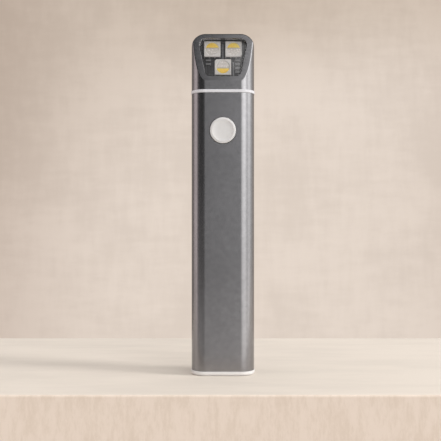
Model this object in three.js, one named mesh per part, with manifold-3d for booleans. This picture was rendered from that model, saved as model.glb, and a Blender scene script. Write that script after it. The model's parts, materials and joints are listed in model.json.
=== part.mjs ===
// A pocket light therapy wand for cold sores: an extruded sleeve, a slanted head with three LEDs behind a
// clear window, and a push button. Millimetres, +Z up. The front, with the button and the window, faces -Y.
// The origin lies on the surface that the wand stands on, under the middle of its bounding box.
import * as THREE from "three";
import { mergeVertices } from "three/addons/utils/BufferGeometryUtils.js";
import Module from "manifold-3d";

const wasm = await Module();
wasm.setup();

// Clearances
const slideGap = 0.1; // round a piece that slides into another
const seatGap = 0.05; // under a piece that is soldered, glued or clamped down
const overrun = 1; // how far a cutter runs past what it cuts

// LED packages, laid out on the slanted face
const ledSize = 5;
const ledHeight = 1.6;
const ledPairGap = 1.48; // between the two upper packages
const ledRowGap = 0.83; // between the upper row and the lower package
const ledCupRadius = 2;
const ledCupDepth = 0.9;
const ledCupFill = 0.86;
const ledDividerWall = 0.22; // the wall that parts the phosphor from the clear pocket
const ledDividerOffset = 0.3; // of that wall from the middle of the cup
const ledCornerCut = 0.5;
const resistorLength = 1.5;
const resistorWidth = 0.7;
const resistorHeight = 0.45;
const resistorPitch = 1.25;
const resistorSideGap = 1.2; // beside the lower package
const resistorDrop = 0.3; // from the upper packages to the first resistor
const rightResistors = 4;
const leftResistors = 2;

// Window, and the bezel left round it
const windowUpperMargin = 0.27;
const windowLowerMargin = 1.07;
const windowSideMargin = 0.87; // beside an upper package, at its lower edge
const windowFlareDegrees = 11.6;
const windowUpperRadius = 2.2;
const windowLowerRadius = 1.7;
const windowRecess = 0.15;
const windowFlange = 0.4; // thickness of the rim that is glued inside the head
const windowFlangeReach = 0.42;
const windowToLed = 0.1;
const bezelUpper = 1.4;
const bezelLower = 1.35;
const bezelSide = 1.81;

// Head
const faceTiltDegrees = 11.3;
const faceWall = 1.1;
const headWall = 1.1;
const headChin = 2.7; // upright front below the slanted face
const headCornerRadius = 4.2;
const headBackRadius = 2.4;
const ledBoardThickness = 0.8;
const ledBoardReach = 0.3; // of the LED board past the window opening
const thermalPadThickness = 0.3;
const spreaderThickness = 0.8;
const spreaderLift = 3.1; // of the spreader above the foot of the slanted face
const spreaderInset = 0.3;

// Sleeve, and the two white trims at its ends
const cornerRadius = 4.2;
const sleeveWall = 0.9;
const trimProud = 0.15;
const neckRingHeight = 0.9;
const neckPlugRise = 2.1;
const neckWebThickness = 1;
const neckWebDrop = 3.4; // from the top of the sleeve down to the web
const spigotWall = 0.9;
const capLip = 1.3;
const capSpigotHeight = 3;
const capEdgeRadius = 0.3;

// Button and switch
const buttonRadius = 3.9;
const buttonProud = 0.4;
const buttonTravel = 0.35;
const buttonClearance = 0.12;
const buttonDrop = 11.4; // from the top of the sleeve to the middle of the button
const buttonRimWidth = 0.62;
const buttonRimRadius = 0.2;
const buttonDish = 0.22;
const buttonDishPower = 4; // how sharply the dish turns up at its rim
const buttonStemRadius = 1.6;
const flangeReach = 0.7;
const flangeThickness = 0.4;
const guidePlate = 0.4;
const guideReach = 0.6;
const switchSize = 4.5;
const switchHeight = 1.4;
const switchHeadroom = 0.4;
const switchLegReach = 0.6;
const switchLegWidth = 0.7;
const switchLegThickness = 0.15;
const plungerRadius = 1;
const plungerDepth = 0.5; // of the plunger inside the switch at rest

// Board and the parts on it
const boardThickness = 1;
const railWall = 1.4;
const boardFootGap = 0.25; // between the board's tail and the base cap
const chipHeight = 0.9;
const controllerSize = 4;
const driverWidth = 3.9;
const driverLength = 4.9;
const driverHeight = 1.5;
const chargerWidth = 1.6;
const chargerLength = 2.9;
const chargerHeight = 1.1;
const pinWidth = 0.4;
const pinThickness = 0.2;
const pinReach = 1;
const pinPitch = 1.27;
const chargerPinPitch = 0.95;
const driverPins = 4; // a side
const chargerPins = 3; // a side
const inductorSize = 4;
const inductorHeight = 1.9;
const inductorRadius = 0.7;
const capacitorLength = 3.2;
const capacitorWidth = 1.6;
const capacitorHeight = 1.2;
const partSpacing = 2.6; // between neighbours on the board
const connectorWidth = 5;
const connectorLength = 3;
const connectorHeight = 1.5;
const flexConnectorWidth = 7.4;
const flexConnectorLength = 3.6;
const flexConnectorHeight = 1.1;
const flexWidth = 6;
const flexThickness = 0.2;
const flexApproach = 2; // straight run of the ribbon below the LED board
const flexSideRoom = 0.3;
const flexEndGap = 0.2; // between the ribbon's end and the thermal pad

// Battery
const cellWidth = 12.4;
const cellLength = 42;
const cellThickness = 3.4;
const cellEdgeRadius = 1.1;
const cellGap = 0.2; // between the cell and the sleeve's back wall
const cellSideRoom = 0.3;
const foamThickness = 0.3;
const foamMargin = 2;
const guardBoardHeight = 3;
const guardBoardThickness = 1.6;
const leadRadius = 0.45;
const leadSpread = 1.1; // from the middle to each lead
const leadBow = 0.5;
const leadBendShares = [0.25, 0.5, 0.75]; // of a lead's rise, at its bends

// Charging socket
const socketWidth = 8.94;
const socketDepth = 3.16;
const socketLength = 7.3;
const socketWall = 0.3;
const socketRecess = 0.5;
const tongueWidth = 6.7;
const tongueThickness = 0.7;
const tongueRecess = 0.5;
const tongueBase = 1.4;

// Lengthwise room inside the sleeve
const socketToCell = 3.2;
const tailBlockGap = 1.6; // between the carrier's tail block and the cell
const leadRoom = 10;
const bridgeHeight = 4;
const flexRoom = 9.5;
const topBridgeHeight = 4;

// Screws
const screwHeadHeight = 0.6;
const recessDepth = 0.3;
const recessWidth = 0.3;
const recessReach = 0.6;
const boardScrew = { headRadius: 1.1, shankRadius: 0.55, length: 3.2 };
const neckScrew = { headRadius: 1.15, shankRadius: 0.6, length: 4 };
const baseScrew = { headRadius: 0.95, shankRadius: 0.5, length: 6 };
const baseScrewSink = 0.15;
const bossWall = 0.35;

// Fineness of round shapes
const cornerSteps = 8;
const roundSteps = 40;
const smallSteps = 16;
const edgeSteps = 3;
const rimSteps = 4;
const dishSteps = 6;
const leadSteps = 10;
const leadSides = 8;
const flexSteps = 24;

// Slanted face, in distances up along it from its foot
const faceTilt = THREE.MathUtils.degToRad(faceTiltDegrees);
const windowFlare = Math.tan(THREE.MathUtils.degToRad(windowFlareDegrees));
const windowFoot = bezelLower;
const lowerRow = windowFoot + windowLowerMargin + ledSize / 2;
const upperRow = lowerRow + ledSize + ledRowGap;
const windowHead = upperRow + ledSize / 2 + windowUpperMargin;
const faceLength = windowHead + bezelUpper;
const ledOffset = (ledPairGap + ledSize) / 2;
const resistorOffset = (ledSize + resistorLength) / 2 + resistorSideGap;
const windowHalfWidthAt = (height) =>
  ledOffset + ledSize / 2 + windowSideMargin + (height - (upperRow - ledSize / 2)) * windowFlare;

// Depths below the slanted face, square to it
const windowFlangeDepth = faceWall + seatGap;
const ledTopDepth = windowFlangeDepth + windowFlange + windowToLed;
const ledFootDepth = ledTopDepth + ledHeight;
const ledBoardDepth = ledFootDepth + seatGap;
const thermalPadDepth = ledBoardDepth + ledBoardThickness + seatGap;
const spreaderDepth = thermalPadDepth + thermalPadThickness + seatGap;

// Depths through the body, from its front to its back
const bodyFront = 0;
const flangeFront = bodyFront + sleeveWall + slideGap;
const flangeBack = flangeFront + flangeThickness;
const guideFront = flangeBack + buttonTravel + slideGap;
const guideBack = guideFront + guidePlate;
const switchFront = guideBack + switchHeadroom;
const boardFront = switchFront + switchHeight + seatGap;
const boardBack = boardFront + boardThickness;
const foamFront = boardBack + seatGap;
const cellFront = foamFront + foamThickness + seatGap;
const bodyDepth = cellFront + cellThickness + cellGap + sleeveWall;
const bodyWidth = 2 * (windowHalfWidthAt(windowHead) + bezelSide);
const bodyMiddle = bodyDepth / 2;

// Heights
const socketTop = socketRecess + socketLength;
const cellBottom = socketTop + socketToCell;
const tailBlockTop = cellBottom - tailBlockGap;
const cellTop = cellBottom + cellLength;
const bridgeBottom = cellTop + leadRoom;
const bridgeTop = bridgeBottom + bridgeHeight;
const topBridgeBottom = bridgeTop + flexRoom;
const carrierTop = topBridgeBottom + topBridgeHeight;
const webBottom = carrierTop + slideGap;
const webTop = webBottom + neckWebThickness;
const sleeveTop = webTop + neckWebDrop;
const neckTop = sleeveTop + neckRingHeight;
const faceFoot = neckTop + headChin;
const headTop = faceFoot + faceLength * Math.cos(faceTilt);
const buttonHeight = sleeveTop - buttonDrop;
const capSpigotTop = capLip + capSpigotHeight;
const boardScrewHeight = (bridgeBottom + bridgeTop) / 2;
const connectorTop = bridgeBottom - slideGap;
const connectorBottom = connectorTop - connectorLength;
const flexConnectorBottom = bridgeTop + (flexRoom - flexConnectorLength) / 2;

// Widths inside the sleeve
const liningInset = sleeveWall + slideGap;
const boardHalfWidth = bodyWidth / 2 - liningInset - railWall - slideGap;
const flangeRadius = buttonRadius + flangeReach;
const flexHalfRoom = flexWidth / 2 + flexSideRoom;
const baseScrewRoom = slideGap + bossWall + baseScrew.shankRadius; // from the screw's middle to a wall
const baseScrewOffset = bodyWidth / 2 - liningInset - spigotWall - baseScrewRoom;
const tailHalfWidth = baseScrewOffset - baseScrewRoom - slideGap;
const boardScrewOffset = boardHalfWidth - bossWall - baseScrew.headRadius;
const neckScrewOffset = flexHalfRoom + bossWall + neckScrew.headRadius;
const neckScrewDepth = bodyDepth - liningInset - spigotWall - slideGap - neckScrew.headRadius;

const finish = (color, roughness, metalness = 0, opacity = 1) =>
  new THREE.MeshStandardMaterial({ color, roughness, metalness, opacity, transparent: opacity < 1 });
const gunmetal = finish(0x6f6e72, 0.38, 0.85);
const whiteTrim = finish(0xe9e6e3, 0.4);
const whiteButton = finish(0xdedbd8, 0.35);
const clearPlastic = finish(0xdfe4e8, 0.08, 0, 0.25);
const blackPlastic = finish(0x232326, 0.5);
const blackBoard = finish(0x2b2c30, 0.45);
const greenBoard = finish(0x1d4a37, 0.45);
const ledWhite = finish(0xe6e3dd, 0.5);
const phosphor = finish(0xd9b23c, 0.6);
const clearSilicone = finish(0xdcd8cf, 0.15);
const tin = finish(0xb9bbbd, 0.35, 0.9);
const steel = finish(0xa9abad, 0.3, 0.95);
const aluminium = finish(0xbfc1c4, 0.4, 0.9);
const greyPad = finish(0x8c9196, 0.8);
const greyPlastic = finish(0x4a4c50, 0.55);
const chipBlack = finish(0x1c1c1f, 0.5);
const ferrite = finish(0x3a3a3d, 0.6);
const tanCeramic = finish(0xb0926a, 0.55);
const pouchFoil = finish(0xb8bcc0, 0.35, 0.6);
const foam = finish(0x35363a, 0.95);
const amberFilm = finish(0xb5752a, 0.4);
const cream = finish(0xe4ddc8, 0.5);
const redWire = finish(0xb3261f, 0.5);
const blackWire = finish(0x1b1b1d, 0.5);

// A closed geometry as a solid for cutting and joining.
function solid(geometry) {
  const bare = geometry.clone();
  bare.deleteAttribute("normal");
  bare.deleteAttribute("uv");
  const merged = mergeVertices(bare);
  const vertProperties = merged.attributes.position.array;
  const triVerts = new Uint32Array(merged.index.array);
  return new wasm.Manifold(new wasm.Mesh({ numProp: 3, vertProperties, triVerts }));
}

// A named mesh of a solid.
function piece(name, body, material) {
  const { numProp, vertProperties, triVerts } = body.getMesh();
  const count = vertProperties.length / numProp;
  const positions = new Float32Array(count * 3);
  for (let i = 0; i < count; i++) positions.set(vertProperties.subarray(i * numProp, i * numProp + 3), i * 3);
  const geometry = new THREE.BufferGeometry();
  geometry.setAttribute("position", new THREE.BufferAttribute(positions, 3));
  geometry.setIndex(new THREE.BufferAttribute(triVerts, 1));
  geometry.computeVertexNormals();
  const mesh = new THREE.Mesh(geometry, material);
  mesh.name = name;
  return mesh;
}

// An outline with arcs at its corners, which run anticlockwise as [x, y, radius].
function roundedOutline(corners) {
  const points = corners.flatMap(([x, y, radius], i) => {
    const corner = new THREE.Vector2(x, y);
    if (radius <= 0) return [corner];
    const towards = ([nx, ny]) => new THREE.Vector2(nx, ny).sub(corner).normalize();
    const before = towards(corners.at(i - 1));
    const after = towards(corners[(i + 1) % corners.length]);
    const half = before.angleTo(after) / 2;
    const centre = before.clone().add(after).setLength(radius / Math.sin(half)).add(corner);
    const [start, end] = [before, after].map((direction) =>
      corner.clone().addScaledVector(direction, radius / Math.tan(half)).sub(centre).angle(),
    );
    return new THREE.EllipseCurve(centre.x, centre.y, radius, radius, start, end).getPoints(cornerSteps);
  });
  return new THREE.Shape(points);
}

// A rectangle about a middle, with one radius at its corners.
function roundedRectangle(halfWidth, halfHeight, radius) {
  return roundedOutline([
    [halfWidth, -halfHeight, radius],
    [halfWidth, halfHeight, radius],
    [-halfWidth, halfHeight, radius],
    [-halfWidth, -halfHeight, radius],
  ]);
}

// The solid of an outline between two heights.
function prism(shape, from, to, curveSegments = cornerSteps) {
  const geometry = new THREE.ExtrudeGeometry(shape, { depth: to - from, bevelEnabled: false, curveSegments });
  return solid(geometry.translate(0, 0, from));
}

// The solid of an outline in Y and Z, with a width along X about the middle.
function sidePrism(shape, width) {
  return prism(shape, -width / 2, width / 2).rotate([90, 0, 90]);
}

// A box between two corners.
function block(low, high) {
  const [x, y, z] = high.map((value, i) => value - low[i]);
  const middle = low.map((value, i) => (value + high[i]) / 2);
  return solid(new THREE.BoxGeometry(x, y, z).translate(...middle));
}

// A disc or rod about the local Z axis.
function rod(radius, from, to, steps = roundSteps) {
  const geometry = new THREE.CylinderGeometry(radius, radius, to - from, steps).rotateX(Math.PI / 2);
  return solid(geometry.translate(0, 0, (from + to) / 2));
}

// A solid turned about the local Z axis from its [radius, height] profile, which starts and ends on the axis.
function turned(profile, steps = roundSteps) {
  const points = profile.map(([radius, height]) => new THREE.Vector2(radius, height));
  return solid(new THREE.LatheGeometry(points, steps).rotateX(Math.PI / 2));
}

// The cross-section of the body, drawn in by an inset, about the middle of the body.
function bodySection(inset) {
  const halfDepth = bodyDepth / 2 - inset;
  const radius = Math.min(cornerRadius, bodyDepth / 2) - inset;
  return roundedRectangle(bodyWidth / 2 - inset, halfDepth, Math.min(radius, halfDepth));
}

// A tube that follows the body's cross-section.
function bodyTube(inset, wall, from, to) {
  const hollow = prism(bodySection(inset + wall), from - overrun, to + overrun);
  return prism(bodySection(inset), from, to).subtract(hollow);
}

// A hole or rod through the body from front to back, at a height and between two depths.
function frontRod(radius, x, height, from, to, steps = roundSteps) {
  return rod(radius, from - bodyMiddle, to - bodyMiddle, steps)
    .rotate([-90, 0, 0])
    .translate([x, 0, height]);
}

// A box in the body, from depths counted from its front.
function bodyBlock(halfWidth, depths, heights) {
  const [front, back] = depths.map((depth) => depth - bodyMiddle);
  return block([-halfWidth, front, heights[0]], [halfWidth, back, heights[1]]);
}

// The head's outer form or, drawn in by its walls, its hollow.
function headForm(wall, frontWall, bottom) {
  const top = headTop - wall;
  const halfWidth = bodyWidth / 2 - wall;
  const halfDepth = bodyDepth / 2;
  const topRadius = headCornerRadius - wall;
  const frontOutline = roundedOutline([
    [halfWidth, bottom - overrun, 0],
    [halfWidth, top, topRadius],
    [-halfWidth, top, topRadius],
    [-halfWidth, bottom - overrun, 0],
  ]);
  const sideOutline = roundedOutline([
    [-halfDepth + frontWall / Math.cos(faceTilt) - (faceFoot - bottom) * Math.tan(faceTilt), bottom, 0],
    [halfDepth - wall, bottom, 0],
    [halfDepth - wall, top, headBackRadius - wall],
    [-halfDepth + frontWall / Math.cos(faceTilt) + (top - faceFoot) * Math.tan(faceTilt), top, 0],
  ]);
  const reach = bodyDepth / 2 + overrun;
  const across = prism(frontOutline, -reach, reach).rotate([90, 0, 0]);
  const along = sidePrism(sideOutline, bodyWidth + 2 * overrun);
  return prism(bodySection(wall), bottom, headTop).intersect(across).intersect(along);
}

// The window's outline on the slanted face, grown by a margin.
function windowOutline(margin) {
  const spread = margin / Math.cos(Math.atan(windowFlare));
  const upper = windowHead + margin;
  const lower = windowFoot - margin;
  const upperHalf = windowHalfWidthAt(upper) + spread;
  const lowerHalf = windowHalfWidthAt(lower) + spread;
  return roundedOutline([
    [lowerHalf, lower, windowLowerRadius + margin],
    [upperHalf, upper, windowUpperRadius + margin],
    [-upperHalf, upper, windowUpperRadius + margin],
    [-lowerHalf, lower, windowLowerRadius + margin],
  ]);
}

// Group whose local X and Y lie in the slanted face and whose Z points out of it.
const face = new THREE.Group();
face.position.set(0, -bodyMiddle, faceFoot);
face.rotation.x = Math.PI / 2 - faceTilt;
face.updateMatrix();

// A solid in the face's own directions, turned into the body's.
function onFace(body) {
  return body.transform(face.matrix.elements);
}

// A solid in the face's own directions, kept clear of the walls of the head all round.
function insideHead(body) {
  const room = headForm(headWall + seatGap, faceWall - seatGap, neckTop);
  return body.intersect(room.transform(face.matrix.clone().invert().elements));
}

function makeHeadShell() {
  const opening = onFace(prism(windowOutline(0), -faceWall - overrun, overrun));
  return piece(
    "head_shell",
    headForm(0, 0, neckTop).subtract(headForm(headWall, faceWall, neckTop - overrun)).subtract(opening),
    gunmetal,
  );
}

function makeWindow() {
  const plug = prism(windowOutline(-slideGap), -windowFlangeDepth - windowFlange, -windowRecess);
  const rim = prism(windowOutline(windowFlangeReach), -windowFlangeDepth - windowFlange, -windowFlangeDepth);
  return piece("window", plug.add(insideHead(rim)), clearPlastic);
}

function makeLightFrame() {
  const front = -windowFlangeDepth - windowFlange - seatGap;
  const outer = prism(windowOutline(windowFlangeReach), -ledFootDepth, front);
  const inner = prism(windowOutline(0), -ledFootDepth - overrun, front + overrun);
  return piece("light_frame", insideHead(outer).subtract(inner), blackPlastic);
}

// Half of a round cup, above or below its divider, drawn in by a gap.
function cupHalf(upper, gap) {
  const edge = ledDividerOffset + (upper ? ledDividerWall / 2 + gap : -ledDividerWall / 2 - gap);
  const radius = ledCupRadius - gap;
  const angle = Math.asin(edge / radius);
  const shape = new THREE.Shape();
  if (upper) shape.absarc(0, 0, radius, angle, Math.PI - angle, false);
  else shape.absarc(0, 0, radius, Math.PI - angle, 2 * Math.PI + angle, false);
  shape.closePath();
  return shape;
}

// An LED: a white package, phosphor in the smaller part of its cup and clear silicone in the larger.
function makeLed(label, x, height, turnedOver) {
  const group = new THREE.Group();
  group.position.set(x, height, -ledFootDepth);
  group.rotation.z = turnedOver ? Math.PI : 0;
  const half = ledSize / 2;
  const outline = new THREE.Shape();
  outline.moveTo(-half, -half);
  outline.lineTo(half - ledCornerCut, -half);
  outline.lineTo(half, -half + ledCornerCut);
  outline.lineTo(half, half);
  outline.lineTo(-half, half);
  outline.closePath();
  const cupFloor = ledHeight - ledCupDepth;
  let packageBody = prism(outline, 0, ledHeight);
  for (const upper of [true, false])
    packageBody = packageBody.subtract(prism(cupHalf(upper, 0), cupFloor, ledHeight + overrun, smallSteps));
  group.add(piece(`led_package_${label}`, packageBody, ledWhite));
  const fillTop = cupFloor + ledCupFill;
  const phosphorBody = prism(cupHalf(true, seatGap), cupFloor + seatGap, fillTop, smallSteps);
  group.add(piece(`led_phosphor_${label}`, phosphorBody, phosphor));
  const clearBody = prism(cupHalf(false, seatGap), cupFloor + seatGap, fillTop, smallSteps);
  group.add(piece(`led_clear_fill_${label}`, clearBody, clearSilicone));
  return group;
}

function makeLedBoard() {
  const plate = prism(windowOutline(ledBoardReach), -ledBoardDepth - ledBoardThickness, -ledBoardDepth);
  return piece("led_board", insideHead(plate), blackBoard);
}

// A plate behind the LED board, from a lift above the foot of the face up to the board's upper edge.
function backPlate(depth, thickness) {
  const upper = windowHead - spreaderInset;
  const upperHalf = windowHalfWidthAt(upper) - spreaderInset;
  const lowerHalf = windowHalfWidthAt(spreaderLift) - spreaderInset;
  const outline = roundedOutline([
    [lowerHalf, spreaderLift, windowLowerRadius],
    [upperHalf, upper, windowUpperRadius],
    [-upperHalf, upper, windowUpperRadius],
    [-lowerHalf, spreaderLift, windowLowerRadius],
  ]);
  return insideHead(prism(outline, -depth - thickness, -depth));
}

function makeResistor(name, x, row) {
  const top = upperRow - ledSize / 2 - resistorDrop - row * resistorPitch;
  const foot = -ledBoardDepth + seatGap;
  const half = resistorLength / 2;
  const body = block([x - half, top - resistorWidth, foot], [x + half, top, foot + resistorHeight]);
  return piece(name, body, tin);
}

function makeNeckCoupler() {
  const ring = prism(bodySection(-trimProud), sleeveTop, neckTop);
  const lower = prism(bodySection(liningInset), webBottom, neckTop);
  const bore = prism(bodySection(liningInset + spigotWall), webTop, neckTop + overrun);
  const plug = headForm(headWall + slideGap, faceWall + slideGap, sleeveTop + neckRingHeight / 2);
  const above = block([-bodyWidth, -bodyDepth, neckTop + neckPlugRise], [bodyWidth, bodyDepth, headTop]);
  const plugBore = headForm(headWall + slideGap + spigotWall, faceWall + slideGap + spigotWall, sleeveTop);
  const slotDepths = [switchFront, cellFront + cellThickness / 2];
  const slot = bodyBlock(flexHalfRoom, slotDepths, [webBottom - overrun, neckTop]);
  let body = ring.add(lower).subtract(bore).add(plug.subtract(above).subtract(plugBore)).subtract(slot);
  for (const side of [-1, 1]) {
    const hole = rod(neckScrew.shankRadius + slideGap, webBottom - overrun, webTop + overrun, smallSteps);
    body = body.subtract(hole.translate([side * neckScrewOffset, neckScrewDepth - bodyMiddle, 0]));
  }
  return piece("neck_coupler", body, whiteTrim);
}

function makeSleeve() {
  const hole = frontRod(buttonRadius + buttonClearance, 0, buttonHeight, -overrun, sleeveWall + overrun);
  return piece("sleeve", bodyTube(0, sleeveWall, capLip, sleeveTop).subtract(hole), gunmetal);
}

// The socket's outline, grown by a margin.
function socketOutline(margin) {
  const halfDepth = socketDepth / 2 + margin;
  return roundedRectangle(socketWidth / 2 + margin, halfDepth, halfDepth - seatGap);
}

function makeBaseCap() {
  const lip = new THREE.ExtrudeGeometry(bodySection(-trimProud), {
    depth: capLip,
    bevelThickness: capEdgeRadius,
    bevelSize: capEdgeRadius,
    bevelOffset: -capEdgeRadius,
    bevelSegments: edgeSteps,
    curveSegments: cornerSteps,
  }).translate(0, 0, capEdgeRadius);
  const above = block([-bodyWidth, -bodyDepth, capLip], [bodyWidth, bodyDepth, capLip + capSpigotHeight]);
  let body = solid(lip).subtract(above);
  body = body.add(bodyTube(liningInset, spigotWall, capLip - capEdgeRadius, capSpigotTop));
  body = body.subtract(prism(socketOutline(slideGap), -overrun, capLip + overrun));
  for (const side of [-1, 1]) {
    const sinkTop = baseScrewSink + screwHeadHeight + seatGap;
    const sink = rod(baseScrew.headRadius + slideGap, -overrun, sinkTop, smallSteps);
    const hole = rod(baseScrew.shankRadius + slideGap, -overrun, capLip + overrun, smallSteps);
    body = body.subtract(sink.add(hole).translate([side * baseScrewOffset, 0, 0]));
  }
  return piece("base_cap", body, whiteTrim);
}

// The frame that slides into the sleeve and carries the board, the cell and the button's guide.
function makeCarrier() {
  const bottom = capLip + seatGap;
  const tailTop = capSpigotTop + slideGap;
  let body = prism(bodySection(liningInset), tailTop, carrierTop);
  body = body.add(prism(bodySection(liningInset + spigotWall + slideGap), bottom, tailTop + overrun));
  const boardRoom = boardHalfWidth + slideGap;
  const openFront = -overrun;
  const openBack = bodyDepth + overrun;
  const guideHalf = flangeRadius + guideReach;
  const guideHeights = [buttonHeight - guideHalf, buttonHeight + guideHalf];
  const pocketHeights = [guideHeights[0] - overrun, guideHeights[1] + overrun];
  const flexHeights = [topBridgeBottom - overrun, carrierTop + overrun];
  const tailHeights = [bottom - overrun, tailBlockTop + overrun];
  const cuts = [
    bodyBlock(boardRoom, [guideBack, boardBack + seatGap], [tailBlockTop, carrierTop + overrun]),
    bodyBlock(boardRoom, [openFront, guideBack + seatGap], [tailBlockTop, guideHeights[0]]),
    bodyBlock(boardRoom, [openFront, guideBack + seatGap], [guideHeights[1], carrierTop + overrun]),
    bodyBlock(boardRoom - slideGap, [openFront, guideFront], pocketHeights),
    bodyBlock(cellWidth / 2 + cellSideRoom, [boardBack, openBack], [tailBlockTop, bridgeBottom]),
    bodyBlock(boardScrewOffset, [boardBack, openBack], [bridgeTop, topBridgeBottom]),
    bodyBlock(flexHalfRoom, [boardBack, cellFront + flexConnectorHeight], flexHeights),
    bodyBlock(tailHalfWidth + slideGap, [boardFront - slideGap, boardBack + seatGap], tailHeights),
    prism(socketOutline(slideGap), ...tailHeights),
    frontRod(buttonStemRadius + slideGap, 0, buttonHeight, openFront, guideBack + overrun),
  ];
  for (const side of [-1, 1]) {
    const boardHole = [boardScrew.shankRadius + seatGap, side * boardScrewOffset, boardScrewHeight];
    cuts.push(frontRod(...boardHole, boardFront, boardBack + boardScrew.length, smallSteps));
    const neckHoleBottom = carrierTop - neckScrew.length;
    const neckHole = rod(neckScrew.shankRadius + seatGap, neckHoleBottom, carrierTop + overrun, smallSteps);
    cuts.push(neckHole.translate([side * neckScrewOffset, neckScrewDepth - bodyMiddle, 0]));
    const baseHoleTop = baseScrewSink + screwHeadHeight + baseScrew.length + slideGap;
    const baseHole = rod(baseScrew.shankRadius + seatGap, bottom - overrun, baseHoleTop, smallSteps);
    cuts.push(baseHole.translate([side * baseScrewOffset, 0, 0]));
  }
  return piece("carrier_frame", body.subtract(wasm.Manifold.union(cuts)), greyPlastic);
}

function makeMainBoard() {
  const depths = [boardFront, boardBack];
  const tailBottom = capLip + boardFootGap;
  let body = bodyBlock(boardHalfWidth, depths, [tailBlockTop + slideGap, carrierTop - slideGap]);
  body = body.add(bodyBlock(tailHalfWidth, depths, [tailBottom, tailBlockTop + overrun]));
  const through = [boardFront - overrun, boardBack + overrun];
  const notchHeights = [tailBottom - overrun, socketTop + slideGap];
  body = body.subtract(bodyBlock(socketWidth / 2 + slideGap, through, notchHeights));
  for (const side of [-1, 1]) {
    const hole = [boardScrew.shankRadius + slideGap, side * boardScrewOffset, boardScrewHeight];
    body = body.subtract(frontRod(...hole, ...through, smallSteps));
  }
  return piece("main_board", body, greenBoard);
}

// Button: a dished cap with a raised rim, a flange behind the sleeve and a stem that meets the switch.
function makeButton() {
  const back = bodyMiddle - (guideBack + seatGap);
  const front = bodyMiddle + buttonProud;
  const rimInner = buttonRadius - buttonRimWidth;
  const profile = [
    [0, back],
    [buttonStemRadius, back],
    [buttonStemRadius, bodyMiddle - flangeBack],
    [flangeRadius, bodyMiddle - flangeBack],
    [flangeRadius, bodyMiddle - flangeFront],
    [buttonRadius, bodyMiddle - flangeFront],
  ];
  for (let i = 0; i <= rimSteps; i++) {
    const angle = (i / rimSteps) * (Math.PI / 2);
    const rise = front - buttonRimRadius * (1 - Math.sin(angle));
    profile.push([buttonRadius - buttonRimRadius * (1 - Math.cos(angle)), rise]);
  }
  for (let i = 0; i < dishSteps; i++) {
    const share = 1 - i / dishSteps;
    profile.push([rimInner * share, front - buttonDish * (1 - share ** buttonDishPower)]);
  }
  profile.push([0, front - buttonDish]);
  const cap = turned(profile).rotate([90, 0, 0]).translate([0, 0, buttonHeight]);
  return piece("button_cap", cap, whiteButton);
}

// A part of the board's front or back: local X and Y lie on the board and Z points away from it.
function boardSide(front) {
  const group = new THREE.Group();
  const depth = front ? boardFront - seatGap : boardBack + seatGap;
  group.position.y = depth - bodyMiddle;
  group.rotation.set(Math.PI / 2, front ? 0 : Math.PI, 0);
  return group;
}

function makeSwitchBody() {
  const half = switchSize / 2;
  let body = block([-half, -half, 0], [half, half, switchHeight]);
  const reach = half + switchLegReach;
  for (const side of [-1, 1]) {
    const row = side * (half - switchLegWidth);
    const [low, high] = [row - switchLegWidth / 2, row + switchLegWidth / 2];
    body = body.add(block([-reach, low, 0], [reach, high, switchLegThickness]));
  }
  const floor = switchHeight - plungerDepth - buttonTravel - slideGap;
  const bore = rod(plungerRadius + slideGap, floor, switchHeight + overrun, smallSteps);
  return placed(piece("switch_body", body.subtract(bore), chipBlack), 0, buttonHeight);
}

function makePlunger() {
  const top = switchHeight + switchHeadroom - seatGap;
  const body = rod(plungerRadius, switchHeight - plungerDepth, top, smallSteps);
  return placed(piece("switch_plunger", body, cream), 0, buttonHeight);
}

// A mesh set down on the board at a place across and up.
function placed(mesh, x, height) {
  mesh.position.set(x, height, 0);
  return mesh;
}

// A chip with a row of pins on its left and right sides.
function makeChip(name, [width, length, height], pins, pitch) {
  let body = block([-width / 2, -length / 2, 0], [width / 2, length / 2, height]);
  const reach = width / 2 + pinReach;
  for (let i = 0; i < pins; i++) {
    const row = (i - (pins - 1) / 2) * pitch;
    body = body.add(block([-reach, row - pinWidth / 2, 0], [reach, row + pinWidth / 2, pinThickness]));
  }
  return piece(name, body, chipBlack);
}

// The parts on the front of the board, stacked downwards from below the board screws.
function makeFrontParts() {
  const group = boardSide(true);
  group.add(makeSwitchBody(), makePlunger());
  const controller = makeChip("microcontroller", [controllerSize, controllerSize, chipHeight], 0, 0);
  const controllerUp = bridgeBottom - partSpacing;
  group.add(placed(controller, 0, controllerUp));
  const driver = makeChip("led_driver_chip", [driverWidth, driverLength, driverHeight], driverPins, pinPitch);
  const driverUp = controllerUp - controllerSize / 2 - partSpacing - driverLength / 2;
  group.add(placed(driver, 0, driverUp));
  const half = inductorSize / 2;
  const inductor = prism(roundedRectangle(half, half, inductorRadius), 0, inductorHeight);
  const inductorUp = driverUp - driverLength / 2 - partSpacing - half;
  group.add(placed(piece("power_inductor", inductor, ferrite), 0, inductorUp));
  const capacitorUp = inductorUp - half - partSpacing;
  const capacitorAcross = (capacitorLength + partSpacing) / 2;
  group.add(placed(makeCapacitor("driver_capacitor_left"), -capacitorAcross, capacitorUp));
  group.add(placed(makeCapacitor("driver_capacitor_right"), capacitorAcross, capacitorUp));
  const chargerSize = [chargerWidth, chargerLength, chargerHeight];
  const chargerUp = tailBlockTop + partSpacing + chargerLength;
  group.add(placed(makeChip("charger_chip", chargerSize, chargerPins, chargerPinPitch), 0, chargerUp));
  const chargerCapacitorUp = chargerUp + chargerLength / 2 + partSpacing;
  group.add(placed(makeCapacitor("charger_capacitor"), 0, chargerCapacitorUp));
  return group;
}

function makeCapacitor(name) {
  const [x, y] = [capacitorLength / 2, capacitorWidth / 2];
  return piece(name, block([-x, -y, 0], [x, y, capacitorHeight]), tanCeramic);
}

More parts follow.
